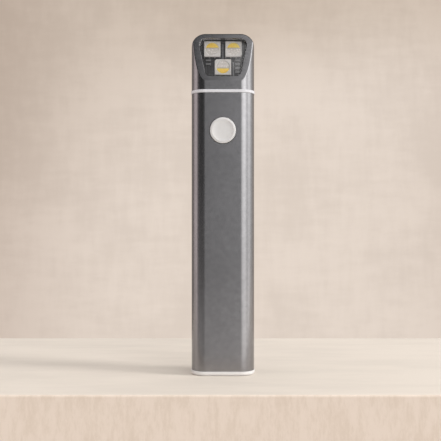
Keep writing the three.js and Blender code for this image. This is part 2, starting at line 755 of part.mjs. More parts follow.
// The parts on the back of the board: the cell's socket and the ribbon's socket.
function makeBackParts() {
  const group = boardSide(false);
  const half = connectorWidth / 2;
  const batterySocket = block([-half, connectorBottom, 0], [half, connectorTop, connectorHeight]);
  group.add(piece("battery_connector", batterySocket, cream));
  const flexHalf = flexConnectorWidth / 2;
  const flexTop = flexConnectorBottom + flexConnectorLength;
  const flexSocket = block([-flexHalf, flexConnectorBottom, 0], [flexHalf, flexTop, flexConnectorHeight]);
  group.add(piece("flex_connector", flexSocket, cream));
  return group;
}

// The flat ribbon from its socket on the board up to the back of the LED board.
function makeLedFlex() {
  const start = boardBack + seatGap + flexConnectorHeight / 2 - bodyMiddle;
  const onBoard = (along) => {
    const depth = ledBoardDepth + ledBoardThickness + seatGap + flexThickness / 2;
    const across = -bodyMiddle + along * Math.sin(faceTilt) + depth * Math.cos(faceTilt);
    return new THREE.Vector2(across, faceFoot + along * Math.cos(faceTilt) - depth * Math.sin(faceTilt));
  };
  const solderEnd = spreaderLift - flexEndGap;
  const boardFoot = windowFoot - ledBoardReach;
  const flexFoot = flexConnectorBottom + flexConnectorLength + seatGap;
  const route = new THREE.SplineCurve([
    new THREE.Vector2(start, flexFoot),
    new THREE.Vector2(start, (flexFoot + webTop) / 2),
    new THREE.Vector2(start, webTop),
    onBoard(boardFoot - flexApproach),
    onBoard(boardFoot - flexApproach / 2),
    onBoard(boardFoot),
    onBoard((boardFoot + solderEnd) / 2),
    onBoard(solderEnd),
  ]);
  const points = route.getPoints(flexSteps);
  const normals = points.map((_, i) => {
    const tangent = route.getTangent(i / flexSteps);
    return new THREE.Vector2(tangent.y, -tangent.x).multiplyScalar(flexThickness / 2);
  });
  const outline = [
    ...points.map((point, i) => point.clone().add(normals[i])),
    ...points.map((point, i) => point.clone().sub(normals[i])).reverse(),
  ];
  return piece("led_flex", sidePrism(new THREE.Shape(outline), flexWidth), amberFilm);
}

// The pouch cell, its guard board and leads, and the foam that pads it against the main board.
function makeBattery() {
  const group = new THREE.Group();
  const middle = cellFront + cellThickness / 2 - bodyMiddle;
  const pouchOutline = roundedRectangle(cellWidth / 2, cellThickness / 2, cellEdgeRadius);
  const pouch = prism(pouchOutline, cellBottom, cellTop).translate([0, middle, 0]);
  group.add(piece("battery_cell", pouch, pouchFoil));
  const halfWidth = cellWidth / 2 - foamMargin;
  const foamHeights = [cellBottom + foamMargin, cellTop - foamMargin];
  const foamBlock = bodyBlock(halfWidth, [foamFront, foamFront + foamThickness], foamHeights);
  group.add(piece("cell_foam_pad", foamBlock, foam));
  const cellMiddle = cellFront + cellThickness / 2;
  const guardDepths = [cellMiddle - guardBoardThickness / 2, cellMiddle + guardBoardThickness / 2];
  const guardBottom = cellTop + seatGap;
  const guardTop = guardBottom + guardBoardHeight;
  const guardBlock = bodyBlock(halfWidth, guardDepths, [guardBottom, guardTop]);
  group.add(piece("cell_guard_board", guardBlock, amberFilm));
  group.add(piece("battery_lead_red", makeLead(-1, middle, guardTop), redWire));
  group.add(piece("battery_lead_black", makeLead(1, middle, guardTop), blackWire));
  return group;
}

// A lead from the guard board, bowed a little outwards, to the connector on the main board.
function makeLead(side, cellY, guardTop) {
  const x = side * leadSpread;
  const plugY = boardBack + seatGap + connectorHeight / 2 - bodyMiddle;
  const [start, end] = [guardTop + seatGap, connectorBottom - seatGap];
  const heightAt = (share) => start + share * (end - start);
  const route = new THREE.CatmullRomCurve3([
    new THREE.Vector3(x, cellY, start),
    new THREE.Vector3(x, cellY, heightAt(leadBendShares[0])),
    new THREE.Vector3(x + side * leadBow, (cellY + plugY) / 2, heightAt(leadBendShares[1])),
    new THREE.Vector3(x, plugY, heightAt(leadBendShares[2])),
    new THREE.Vector3(x, plugY, end),
  ]);
  const round = new THREE.EllipseCurve(0, 0, leadRadius, leadRadius).getPoints(leadSides).slice(1);
  const settings = { steps: leadSteps, extrudePath: route, bevelEnabled: false };
  return solid(new THREE.ExtrudeGeometry(new THREE.Shape(round), settings));
}

// The charging socket: a stamped shell and the tongue inside it.
function makeSocket() {
  const group = new THREE.Group();
  const shell = prism(socketOutline(0), socketRecess, socketTop);
  const mouth = prism(socketOutline(-socketWall), -overrun, socketTop + overrun);
  group.add(piece("socket_shell", shell.subtract(mouth), steel));
  const baseOutline = socketOutline(-socketWall - seatGap);
  const tongueBottom = socketRecess + tongueRecess;
  const baseBottom = socketTop - tongueBase;
  const tongue = block(
    [-tongueWidth / 2, -tongueThickness / 2, tongueBottom],
    [tongueWidth / 2, tongueThickness / 2, socketTop],
  );
  group.add(piece("socket_tongue", tongue.add(prism(baseOutline, baseBottom, socketTop)), blackPlastic));
  return group;
}

// A screw standing on its shank's end, its head up, with a cross recess.
function makeScrew(name, { headRadius, shankRadius, length }) {
  const top = length + screwHeadHeight;
  let body = rod(headRadius, length, top, smallSteps).add(rod(shankRadius, 0, length, smallSteps));
  const floor = top - recessDepth;
  for (const [x, y] of [[recessReach, recessWidth / 2], [recessWidth / 2, recessReach]])
    body = body.subtract(block([-x, -y, floor], [x, y, floor + recessDepth + overrun]));
  return piece(name, body, steel);
}

function makeScrews() {
  const group = new THREE.Group();
  for (const [label, side] of [["left", -1], ["right", 1]]) {
    const board = makeScrew(`board_screw_${label}`, boardScrew);
    board.rotation.x = Math.PI / 2;
    const boardScrewEnd = boardFront - seatGap + boardScrew.length - bodyMiddle;
    board.position.set(side * boardScrewOffset, boardScrewEnd, boardScrewHeight);
    const neck = makeScrew(`neck_screw_${label}`, neckScrew);
    const neckScrewEnd = webTop + seatGap - neckScrew.length;
    neck.position.set(side * neckScrewOffset, neckScrewDepth - bodyMiddle, neckScrewEnd);
    const base = makeScrew(`base_screw_${label}`, baseScrew);
    base.rotation.x = Math.PI;
    base.position.set(side * baseScrewOffset, 0, baseScrewSink + screwHeadHeight + baseScrew.length);
    group.add(board, neck, base);
  }
  return group;
}

face.add(makeWindow(), makeLightFrame(), makeLedBoard());
face.add(piece("thermal_pad", backPlate(thermalPadDepth, thermalPadThickness), greyPad));
face.add(piece("heat_spreader", backPlate(spreaderDepth, spreaderThickness), aluminium));
face.add(makeLed("left", -ledOffset, upperRow, false));
face.add(makeLed("right", ledOffset, upperRow, false));
face.add(makeLed("lower", 0, lowerRow, true));
for (let row = 0; row < rightResistors; row++)
  face.add(makeResistor(`led_resistor_right_${row + 1}`, resistorOffset, row));
for (let row = 0; row < leftResistors; row++)
  face.add(makeResistor(`led_resistor_left_${row + 1}`, -resistorOffset, row));

const wand = new THREE.Group();
wand.name = "light_therapy_wand";
wand.position.y = (buttonProud - trimProud) / 2;
wand.add(makeSleeve(), makeHeadShell(), makeNeckCoupler(), makeBaseCap(), makeButton());
wand.add(makeCarrier(), makeMainBoard(), makeFrontParts(), makeBackParts(), makeSocket());
wand.add(face, makeLedFlex(), makeBattery(), makeScrews());

export default wand;
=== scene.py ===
"""A cold sore light therapy wand, standing on a pale table in soft studio light.

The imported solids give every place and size. The pieces that show are remade here as fine surfaces
around them: sleeve, head, neck coupler, base cap, button, window, light engine, socket and base screws.
The rest are carried over and dressed. Lengths are in millimetres in the row's own frame, +Z up, with
the front facing -Y, and become metres when a mesh is made.
"""

import json
import logging
import math
from dataclasses import dataclass, field
from enum import Enum
from typing import Iterable, Sequence

import bmesh
import bpy
import numpy as np
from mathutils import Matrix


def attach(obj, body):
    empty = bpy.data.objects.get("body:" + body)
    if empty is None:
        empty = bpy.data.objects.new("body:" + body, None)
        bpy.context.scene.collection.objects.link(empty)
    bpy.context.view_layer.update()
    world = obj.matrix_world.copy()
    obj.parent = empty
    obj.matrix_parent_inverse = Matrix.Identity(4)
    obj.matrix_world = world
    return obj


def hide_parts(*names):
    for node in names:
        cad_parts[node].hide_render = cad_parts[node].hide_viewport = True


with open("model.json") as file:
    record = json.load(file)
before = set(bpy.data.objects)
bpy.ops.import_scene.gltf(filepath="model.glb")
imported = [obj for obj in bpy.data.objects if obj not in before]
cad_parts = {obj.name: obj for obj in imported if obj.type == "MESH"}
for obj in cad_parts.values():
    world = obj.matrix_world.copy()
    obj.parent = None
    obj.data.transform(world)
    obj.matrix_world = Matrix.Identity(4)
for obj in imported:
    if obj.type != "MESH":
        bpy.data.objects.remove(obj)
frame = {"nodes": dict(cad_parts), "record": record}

LOG = logging.getLogger("wand")
MM = 0.001
MERGE = 1e-7  # metres, below which points are one
NO_TURN = 1e-6  # radians, below which two directions are one
PAST = 1.0  # millimetres by which a cutter passes what it cuts
FOLLOWED = 0.7  # cosine of the widest angle at which a known normal is followed
WIDE, SLIM, FINE = 128, 48, 24  # steps round a wide turned piece, a slim one and a small hole
EDGE_STEPS = 3  # steps round a small edge
RIGHT, UP, MIRRORED = np.array([(1.0, 0.0, 0.0), (0.0, 0.0, 1.0), (-1.0, 1.0, 1.0)])

Pair = tuple[float, float]
Triple = tuple[float, float, float]


class Body(Enum):
    """The bodies that new pieces ride on."""

    WAND = "wand"
    BUTTON = "button"


class Slot(Enum):
    """The record's material slots."""

    GREY_ALUMINIUM = "grey_aluminium"
    WHITE_TRIM = "white_trim"
    WHITE_BUTTON = "white_button"
    CLEAR_WINDOW = "clear_window"
    BLACK_PLASTIC = "black_plastic"
    BLACK_BOARD = "black_board"
    GREY_PAD = "grey_pad"
    PLAIN_ALUMINIUM = "plain_aluminium"
    LED_WHITE = "led_white"
    PHOSPHOR = "phosphor"
    CLEAR_SILICONE = "clear_silicone"
    TIN = "tin"
    STEEL = "steel"
    AMBER_FILM = "amber_film"
    CREAM_PLASTIC = "cream_plastic"
    GREEN_BOARD = "green_board"
    GREY_PLASTIC = "grey_plastic"
    CHIP_BLACK = "chip_black"
    FERRITE = "ferrite"
    TAN_CERAMIC = "tan_ceramic"
    POUCH_FOIL = "pouch_foil"
    FOAM = "foam"
    RED_WIRE = "red_wire"
    BLACK_WIRE = "black_wire"


# Outlines and surfaces


def unit(ways: np.ndarray) -> np.ndarray:
    """Vectors at length 1."""
    return ways / np.linalg.norm(ways, axis=-1, keepdims=True)


def spaced(steps: int) -> np.ndarray:
    """Shares from 0 to 1 in equal steps, as one row."""
    return np.linspace(0.0, 1.0, steps + 1)[None]


def vectors(*columns: np.ndarray | float) -> np.ndarray:
    """Vectors by row and column, from grids of their coordinates."""
    return np.stack(np.broadcast_arrays(*columns), axis=-1)


@dataclass(frozen=True)
class Outline:
    """A closed outline made of arcs, so that it can be grown or drawn in by any offset.

    Point i lies at its centre plus its radius times its unit normal, and an offset is added to the radius.

    Attributes:
        centres: Arc centres, one row of x and y each.
        radii: Arc radii.
        normals: Unit normals that point out of the outline.
    """

    centres: np.ndarray
    radii: np.ndarray
    normals: np.ndarray

    @classmethod
    def of_arcs(cls, arcs: Iterable[tuple[float, float, float, float, float]], steps: int) -> "Outline":
        """Strings arcs together, with straight lines between them.

        Args:
            arcs: Centre x, centre y, radius, first and last angle of each arc, anticlockwise.
            steps: Steps along each arc.

        Returns:
            The closed outline.
        """
        centres, radii, normals = [], [], []
        for x, y, radius, first, last in arcs:
            angle = first + (last - first) * spaced(steps)[0]
            centres.append(np.full((steps + 1, 2), (x, y)))
            radii.append(np.full(steps + 1, radius))
            normals.append(np.stack([np.cos(angle), np.sin(angle)], axis=1))
        return cls(np.concatenate(centres), np.concatenate(radii), np.concatenate(normals))

    @classmethod
    def rounded(cls, corners: Sequence[Triple], steps: int = 16) -> "Outline":
        """Rounds the corners of a convex polygon.

        Each arc touches both sides of its corner: its centre lies radius / sin(half the corner's angle)
        from the corner, along the line that halves the angle.

        Args:
            corners: x, y and radius of each corner, anticlockwise.
            steps: Steps along each corner's arc.

        Returns:
            The rounded outline.
        """
        table = np.array(corners, dtype=float)
        spots, radii = table[:, :2], table[:, 2]
        back, ahead = (unit(np.roll(spots, shift, axis=0) - spots) for shift in (1, -1))
        half = np.arccos(np.clip((back * ahead).sum(axis=1), -1.0, 1.0)) / 2
        centres = spots + unit(back + ahead) * (radii / np.sin(half))[:, None]
        last = np.arctan2(-ahead[:, 0], ahead[:, 1])
        return cls.of_arcs(zip(*centres.T, radii, last - (math.pi - 2 * half), last), steps)

    @classmethod
    def box(cls, low: Pair, high: Pair, radii: float | Sequence[float], steps: int = 16) -> "Outline":
        """A rectangle with rounded corners.

        Args:
            low: Its lower left corner.
            high: Its upper right corner.
            radii: One radius for all corners, or one each, anticlockwise from the lower right one.
            steps: Steps along each corner's arc.

        Returns:
            The rounded outline.
        """
        (x0, y0), (x1, y1) = low, high
        r0, r1, r2, r3 = np.broadcast_to(radii, 4)
        return cls.rounded([(x1, y0, r0), (x1, y1, r1), (x0, y1, r2), (x0, y0, r3)], steps)

    @classmethod
    def centred(cls, half: Pair, radius: float, steps: int = 16) -> "Outline":
        """A rectangle with rounded corners about the origin, from its half width and half depth."""
        return cls.box((-half[0], -half[1]), half, radius, steps)

    @classmethod
    def spokes(cls, steps: int) -> "Outline":
        """The unit spokes about the origin on which a lathe profile turns."""
        return cls.of_arcs([(0.0, 0.0, 0.0, 0.0, 2 * math.pi)], steps)

    def at(self, offset: float) -> np.ndarray:
        """The outline's points at an offset, one row of x and y each."""
        return self.centres + (self.radii + offset)[:, None] * self.normals

    def carried(self, profile: np.ndarray) -> np.ndarray:
        """Carries a profile round the outline.

        Point (j, i) is centre i plus (radius i + offset j) times normal i, at height j.

        Args:
            profile: Rows of offset and height.

        Returns:
            A grid of points, one row for each profile point.
        """
        reach = self.radii[None, :] + profile[:, :1]
        flat = self.centres[None] + reach[:, :, None] * self.normals[None]
        height = np.broadcast_to(profile[:, 1][:, None, None], flat.shape[:2] + (1,))
        return np.concatenate([flat, height], axis=2)

    def seen_from(self, middle: Pair, angles: np.ndarray) -> "Outline":
        """The outline's points at given angles about a middle, interpolated linearly on the angle.

        Args:
            middle: A place inside the outline.
            angles: Angles from the X axis, anticlockwise.

        Returns:
            An outline with one point for each angle.
        """
        places = self.at(0.0)
        own = np.arctan2(places[:, 1] - middle[1], places[:, 0] - middle[0])
        order = np.argsort(own)
        columns = np.concatenate([places, self.normals], axis=1)[order]
        found = [np.interp(angles, own[order], column, period=2 * math.pi) for column in columns.T]
        spots, normals = np.stack(found[:2], axis=1), np.stack(found[2:], axis=1)
        return Outline(spots, np.zeros(len(spots)), unit(normals))


def rounded_path(corners: Sequence[Triple], steps: int = 5) -> np.ndarray:
    """Rounds the inner corners of an open path.

    Args:
        corners: Two coordinates and a radius for each corner. The ends keep their places.
        steps: Steps along each arc.

    Returns:
        Points of the path, one row each.
    """
    table = np.array(corners, dtype=float)
    spots = table[:, :2]
    path, share = [spots[:1]], spaced(steps).T
    for before, spot, after, radius in zip(spots, spots[1:], spots[2:], table[1:-1, 2]):
        back, ahead = unit(before - spot), unit(after - spot)
        half = math.acos(float(np.clip(back @ ahead, -1.0, 1.0))) / 2
        if radius <= 0:
            path.append(spot[None])
            continue
        centre = spot + unit(back + ahead) * radius / math.sin(half)
        start, end = (spot + way * radius / math.tan(half) - centre for way in (back, ahead))
        path.append(centre + unit(start * (1 - share) + end * share) * radius)
    path.append(spots[-1:])
    return np.concatenate(path)


def swung(first: np.ndarray, last: np.ndarray, share: np.ndarray) -> np.ndarray:
    """Unit normals on the way from one to another, at equal steps of angle.

    With angle w between them, the normal at share s is (sin((1 - s) w) first + sin(s w) last) / sin w.

    Args:
        first: Where they start.
        last: Where they end.
        share: How far each is on its way, from 0 to 1.

    Returns:
        The normals.
    """
    angle = np.arccos(np.clip((first * last).sum(axis=-1, keepdims=True), -1.0, 1.0))
    apart = angle > NO_TURN
    sine = np.where(apart, np.sin(angle), 1.0)
    start, end = (np.where(apart, np.sin(part * angle) / sine, part) for part in (1 - share, share))
    return unit(first * start + last * end)


def rolled(height: np.ndarray, top: float, radius: float) -> tuple[np.ndarray, np.ndarray]:
    """Sine of the turn round an upper corner at a height, and how far the corner has drawn in by there."""
    sine = np.clip((height - (top - radius)) / radius, 0.0, 1.0)
    return sine, radius * (1 - np.sqrt(1 - sine**2))


@dataclass(frozen=True)
class Placement:
    """Where a piece's own axes lie in the row's frame.

    Attributes:
        origin: Where its origin lies.
        across: Direction of its X axis.
        up: Direction of its Y axis.
        out: Direction of its Z axis.
    """

    origin: Triple = (0.0, 0.0, 0.0)
    across: Triple = (1.0, 0.0, 0.0)
    up: Triple = (0.0, 1.0, 0.0)
    out: Triple = (0.0, 0.0, 1.0)

    def turn(self, ways: np.ndarray) -> np.ndarray:
        """Turns directions along the piece's own axes into the row's frame."""
        return ways @ np.array([self.across, self.up, self.out])

    def apply(self, points: np.ndarray) -> np.ndarray:
        """Turns points of the piece's own axes into the row's frame."""
        return np.asarray(self.origin) + self.turn(points)

    def moved(self, across: float, up: float, out: float = 0.0) -> "Placement":
        """The same directions from a place given along them."""
        origin = self.apply(np.array([across, up, out]))
        return Placement(tuple(origin), self.across, self.up, self.out)

    def turned(self) -> "Placement":
        """The placement turned half round about its Z axis."""
        across, up = (tuple(-value for value in way) for way in (self.across, self.up))
        return Placement(self.origin, across, up, self.out)


@dataclass
class Shell:
    """The faces of one mesh, gathered as grids, loops and boxes."""

    placement: Placement = field(default_factory=Placement)
    points: list[np.ndarray] = field(default_factory=list)
    normals: list[np.ndarray] = field(default_factory=list)
    faces: list[list[int]] = field(default_factory=list)
    count: int = 0

    def _keep(self, points: np.ndarray, normals: np.ndarray | None = None) -> int:
        """Takes in points.

        Args:
            points: The points, along the shell's own axes.
            normals: Their normals, if they are known.

        Returns:
            The number of the first one.
        """
        first, flat = self.count, points.reshape(-1, 3)
        ways = np.zeros_like(flat) if normals is None else self.placement.turn(normals.reshape(-1, 3))
        self.points.append(self.placement.apply(flat))
        self.normals.append(ways)
        self.count += len(flat)
        return first

    def grid(
        self,
        points: np.ndarray,
        normals: np.ndarray | None = None,
        tube: bool = False,
        keep: np.ndarray | None = None,
    ) -> "Shell":
        """Joins a grid of points, whose last column joins the first, with four-sided faces.

        Args:
            points: Points by row and column.
            normals: Their normals, where these are known.
            tube: Whether the last row joins the first.
            keep: Which faces to make, by row and column.

        Returns:
            This shell.
        """
        number = np.arange(points.shape[0] * points.shape[1]).reshape(points.shape[:2])
        number = np.concatenate([number, number[:, :1]], axis=1)
        if tube:
            number = np.concatenate([number, number[:1]], axis=0)
        quads = np.stack([number[:-1, :-1], number[:-1, 1:], number[1:, 1:], number[1:, :-1]], axis=2)
        used, quads = np.unique(quads if keep is None else quads[keep], return_inverse=True)
        points, normals = (None if way is None else way.reshape(-1, 3)[used] for way in (points, normals))
        self.faces.extend((self._keep(points, normals) + quads.reshape(-1, 4)).tolist())
        return self

    def lid(self, loop: np.ndarray) -> "Shell":
        """Closes a flat loop with one face."""
        first = self._keep(loop)
        self.faces.append(list(range(first, first + len(loop))))
        return self

    def swept(self, outline: Outline, profile: np.ndarray) -> "Shell":
        """Carries an open profile round an outline and closes both its ends."""
        rows = outline.carried(profile)
        return self.grid(rows).lid(rows[0]).lid(rows[-1])

    def hoop(self, outline: Outline, profile: np.ndarray) -> "Shell":
        """Carries a closed profile round an outline."""
        return self.grid(outline.carried(profile), tube=True)

    def turned(self, profile: np.ndarray, steps: int) -> "Shell":
        """Turns a profile of radius and height, which starts and ends on the axis, about Z."""
        return self.grid(Outline.spokes(steps).carried(profile))

    def plate(
        self, outline: Outline, low: float, high: float, edge: float, steps: int = EDGE_STEPS
    ) -> "Shell":
        """A flat plate with rounded edges between two heights."""
        corners = [(-edge, low, 0.0), (0.0, low, edge), (0.0, high, edge), (-edge, high, 0.0)]
        return self.swept(outline, rounded_path(corners, steps)[1:-1])

    def block(self, low: Triple, high: Triple, edge: float) -> "Shell":
        """A box with rounded edges between two corners."""
        return self.plate(Outline.box(low[:2], high[:2], edge, EDGE_STEPS), low[2], high[2], edge)

    def made(self, name: str) -> bpy.types.Object:
        """Makes the mesh, with doubled points merged and all faces pointing out.

        Args:
            name: Name of the object.

        Returns:
            The object, at the origin, linked to the scene.
        """
        mesh = bpy.data.meshes.new(name)
        mesh.from_pydata((np.concatenate(self.points) * MM).tolist(), [], self.faces)
        normals = np.concatenate(self.normals)
        known = bool(normals.any())
        if known:
            layer = mesh.attributes.new("known", "FLOAT_VECTOR", "POINT")
            layer.data.foreach_set("vector", normals.ravel())
        tidy(mesh)
        if known:
            steer(mesh)
        piece = bpy.data.objects.new(name, mesh)
        bpy.context.scene.collection.objects.link(piece)
        return piece


def tidy(mesh: bpy.types.Mesh) -> None:
    """Merges doubled points, drops collapsed faces and turns every face outwards.

    Args:
        mesh: The mesh, which is changed.
    """
    work = bmesh.new()
    work.from_mesh(mesh)
    bmesh.ops.remove_doubles(work, verts=work.verts, dist=MERGE)
    bmesh.ops.dissolve_degenerate(work, dist=MERGE, edges=work.edges)
    bmesh.ops.recalc_face_normals(work, faces=work.faces)
    work.to_mesh(mesh)
    work.free()


def read(items: bpy.types.bpy_prop_collection, key: str, width: int, kind: type = float) -> np.ndarray:
    """A property of a mesh's points, faces or corners, one row each."""
    values = np.empty(len(items) * width, dtype=kind)
    items.foreach_get(key, values)
    return values.reshape(-1, width)


def smooth(mesh: bpy.types.Mesh) -> None:
    """Shades every face smoothly."""
    mesh.polygons.foreach_set("use_smooth", np.ones(len(mesh.polygons), dtype=bool))


def steer(mesh: bpy.types.Mesh) -> None:
    """Gives each face corner its point's known normal, or the face's own where the two are far apart.

    Args:
        mesh: The mesh, whose attribute "known" holds a normal for each point.
    """
    known = read(mesh.attributes["known"].data, "vector", 3)
    sizes = read(mesh.polygons, "loop_total", 1, np.int32)
    own = np.repeat(read(mesh.polygons, "normal", 3), sizes.ravel(), axis=0)
    wanted = known[read(mesh.loops, "vertex_index", 1, np.int32).ravel()]
    near = (wanted * own).sum(axis=1) > FOLLOWED
    mesh.attributes.remove(mesh.attributes["known"])
    smooth(mesh)
    mesh.normals_split_custom_set(np.where(near[:, None], wanted, own).tolist())


def carve(piece: bpy.types.Object, cutters: Sequence[Shell]) -> None:
    """Cuts shells out of a piece and leaves a plain mesh.

    Args:
        piece: The piece.
        cutters: Closed shells.
    """
    tools = [cutter.made(f"{piece.name}_cutter") for cutter in cutters]
    for tool in tools:
        cut = piece.modifiers.new("cut", "BOOLEAN")
        cut.solver, cut.operation, cut.object = "EXACT", "DIFFERENCE", tool
    view = bpy.context.evaluated_depsgraph_get()
    mesh = bpy.data.meshes.new_from_object(piece.evaluated_get(view))
    piece.modifiers.clear()
    piece.data = mesh
    tidy(mesh)
    for tool in tools:
        bpy.data.objects.remove(tool)


# Shader maths


class Wire:
    """One output of a shader node, which can stand in sums."""

    def __init__(self, tree: "Tree", socket: bpy.types.NodeSocket) -> None:
        """Wraps a socket of a tree."""
        self.tree = tree
        self.socket = socket

    def __add__(self, other: "Wire | float") -> "Wire":
        """This value plus another."""
        return self.tree.maths("ADD", self, other)

    def __sub__(self, other: "Wire | float") -> "Wire":
        """This value less another."""
        return self.tree.maths("SUBTRACT", self, other)

    def __rsub__(self, other: float) -> "Wire":
        """A number less this value."""
        return self.tree.maths("SUBTRACT", other, self)

    def __mul__(self, other: "Wire | float") -> "Wire":
        """This value times another."""
        return self.tree.maths("MULTIPLY", self, other)

    def __truediv__(self, other: "Wire | float") -> "Wire":
        """This value over another."""
        return self.tree.maths("DIVIDE", self, other)

    def __pow__(self, other: "Wire | float") -> "Wire":
        """This value to a power."""
        return self.tree.maths("POWER", self, other)

    __radd__ = __add__
    __rmul__ = __mul__

    def step(self, low: float, high: float) -> "Wire":
        """Rises smoothly from 0 at low to 1 at high."""
        sockets = {"Value": self, "From Min": low, "From Max": high}
        return self.tree.wire("MapRange", {"interpolation_type": "SMOOTHSTEP"}, sockets)


class Tree:
    """A node tree in the making."""

    def __init__(self, owner: bpy.types.Material | bpy.types.World) -> None:
        """Empties the owner's node tree.

        Args:
            owner: What the tree belongs to.
        """
        owner.use_nodes = True
        self.nodes = owner.node_tree.nodes
        self.links = owner.node_tree.links
        self.nodes.clear()

    def node(self, kind: str, settings: dict | None = None, sockets: dict | None = None) -> bpy.types.Node:
        """Adds a node.

        Args:
            kind: Its type without the leading ShaderNode.
            settings: Its properties, or a ramp's stops under the key stops.
            sockets: Numbers, colours or wires by the input's name or number.

        Returns:
            The node.
        """
        node = self.nodes.new(f"ShaderNode{kind}")
        for key, value in (settings or {}).items():
            if key == "stops":
                self._fill_ramp(node.color_ramp, value)
            else:
                setattr(node, key, value)
        for key, value in (sockets or {}).items():
            target = node.inputs[key]
            if isinstance(value, Wire):
                self.links.new(value.socket, target)
            elif target.type == "RGBA" and len(value) == 3:
                target.default_value = (*value, 1.0)
            else:
                target.default_value = value
        return node

    @staticmethod
    def _fill_ramp(ramp: bpy.types.ColorRamp, stops: Sequence[tuple[float, Triple]]) -> None:
        """Gives a colour ramp its stops.

        Args:
            ramp: The ramp.
            stops: Place, from 0 to 1, and colour of each stop.
        """
        while len(ramp.elements) < len(stops):
            ramp.elements.new(1.0)
        for element, (place, colour) in zip(ramp.elements, stops):
            element.position = place
            element.color = (*colour, 1.0)

    def wire(
        self, kind: str, settings: dict | None = None, sockets: dict | None = None, output: str | int = 0
    ) -> Wire:
        """Adds a node and returns one of its outputs."""
        return Wire(self, self.node(kind, settings, sockets).outputs[output])

    def maths(self, operation: str, *values: Wire | float) -> Wire:
        """One Math node."""
        return self.wire("Math", {"operation": operation}, dict(enumerate(values)))

    def place(self) -> Wire:
        """Object coordinates, in metres in the row's frame."""
        return self.wire("TexCoord", output="Object")

    def stretched(self, vector: Wire, scale: Triple) -> Wire:
        """Coordinates times a scale along each axis: a pattern on them grows where the scale is small."""
        return self.wire("Mapping", None, {"Vector": vector, "Scale": scale})

    def parts(self, vector: Wire) -> tuple[Wire, Wire, Wire]:
        """The three numbers of a vector."""
        node = self.node("SeparateXYZ", sockets={0: vector})
        return tuple(Wire(self, output) for output in node.outputs)

    def noise(self, vector: Wire, scale: float, detail: float = 2.0, rough: float = 0.5) -> Wire:
        """Noise about 0.5, with features of 1 / scale metres."""
        sockets = {"Vector": vector, "Scale": scale, "Detail": detail, "Roughness": rough}
        return self.wire("TexNoise", None, sockets, "Fac")

    def mix(
        self, share: Wire | float, first: Wire | Triple, second: Wire | Triple, blend: str = "MIX"
    ) -> Wire:
        """Mixes two colours."""
        settings = {"data_type": "RGBA", "blend_type": blend}
        return self.wire("Mix", settings, {0: share, 6: first, 7: second}, 2)

    def times(self, first: Wire, second: Triple) -> Wire:
        """One colour times another."""
        return self.mix(1.0, first, second, "MULTIPLY")

    def bump(self, height: Wire, depth: float) -> Wire:
        """A normal from a height whose full range stands for a depth in millimetres."""
        return self.wire("Bump", None, {"Height": height, "Distance": depth * MM, "Strength": 1.0})

    def close(self, shader: Wire, kind: str = "OutputMaterial") -> None:
        """Ends the tree with its output."""
        self.node(kind, sockets={"Surface": shader})


# Finishes


@dataclass(frozen=True)
class Finish:
    """A finish, which makes one material.

    Attributes:
        slot: The record's slot for it.
        colour: Base colour, linear.
        roughness, spread: Mean roughness, and how far it drifts.
        metallic: 1 for metal.
        under: Share of light that scatters under the skin.
        reach: How far it gets there in millimetres.
        bleed: How far each of its colours gets, as a share of that.
        coat: Weight and roughness of a clear gloss on top.
    """

    slot: Slot
    colour: Triple
    roughness: float
    spread: float = 0.0
    metallic: float = 0.0
    under: float = 0.0
    reach: float = 0.6
    bleed: Triple = (1.0, 0.9, 0.8)
    coat: Pair = (0.0, 0.0)

    def shader(self, tree: Tree) -> Wire:
        """The surface's shader."""
        raise NotImplementedError

    def surface(self, tree: Tree, colour: Wire, drift: Wire, normal: Wire, painted_glow: float = 0.0) -> Wire:
        """The Principled shader.

        Args:
            tree: The material's node tree.
            colour: Its colour.
            drift: How far the roughness has drifted, as a share of its spread.
            normal: Its normal.
            painted_glow: Light that it gives off of its own, as a share of its colour: painted light.

        Returns:
            The shader.
        """
        sockets = {
            "Base Color": colour,
            "Roughness": self.roughness + drift * self.spread,
            "Metallic": self.metallic,
            "Normal": normal,
            "Subsurface Weight": self.under,
            "Subsurface Radius": self.bleed,
            "Subsurface Scale": self.reach * MM,
            "Coat Weight": self.coat[0],
            "Coat Roughness": self.coat[1],
        }
        if painted_glow:
            sockets |= {"Emission Color": colour, "Emission Strength": painted_glow}
        return tree.wire("BsdfPrincipled", None, sockets)

    def made(self) -> bpy.types.Material:
        """Makes the material.

        Returns:
            The material, with its slot's name.
        """
        material = bpy.data.materials.new(self.slot.value)
        tree = Tree(material)
        tree.close(self.shader(tree))
        material.diffuse_color = (*self.colour, 1.0)
        return material


@dataclass(frozen=True)
class Grained(Finish):
    """Plastic, rubber, ceramic or lacquer, with a fine grain over slow changes of tone.

    Attributes:
        grain, depth: Size and depth of the grain in millimetres.
        mottle: How far the tone drifts, as a share of the colour.
        clouds: Clouds of tone to the metre.
    """

    spread: float = 0.08
    grain: float = 0.25
    depth: float = 0.004
    mottle: float = 0.06
    clouds: float = 140.0

    def noises(self, tree: Tree) -> tuple[Wire, Wire]:
        """The grain and the clouds."""
        place = tree.place()
        return tree.noise(place, 1 / (self.grain * MM), 3.0), tree.noise(place, self.clouds, 3.0)

    def shader(self, tree: Tree) -> Wire:
        """Tone, gloss and height from noise.

        Args:
            tree: The material's node tree.

        Returns:
            The shader.
        """
        grain, cloud = self.noises(tree)
        shades = []
        for drift in (-self.mottle, self.mottle):
            shades.append(tuple(min(1.0, value * (1 + drift)) for value in self.colour))
        tone = tree.mix(cloud.step(0.3, 0.7), *shades)
        return self.surface(tree, tone, cloud + grain - 1.0, tree.bump(grain, self.depth))


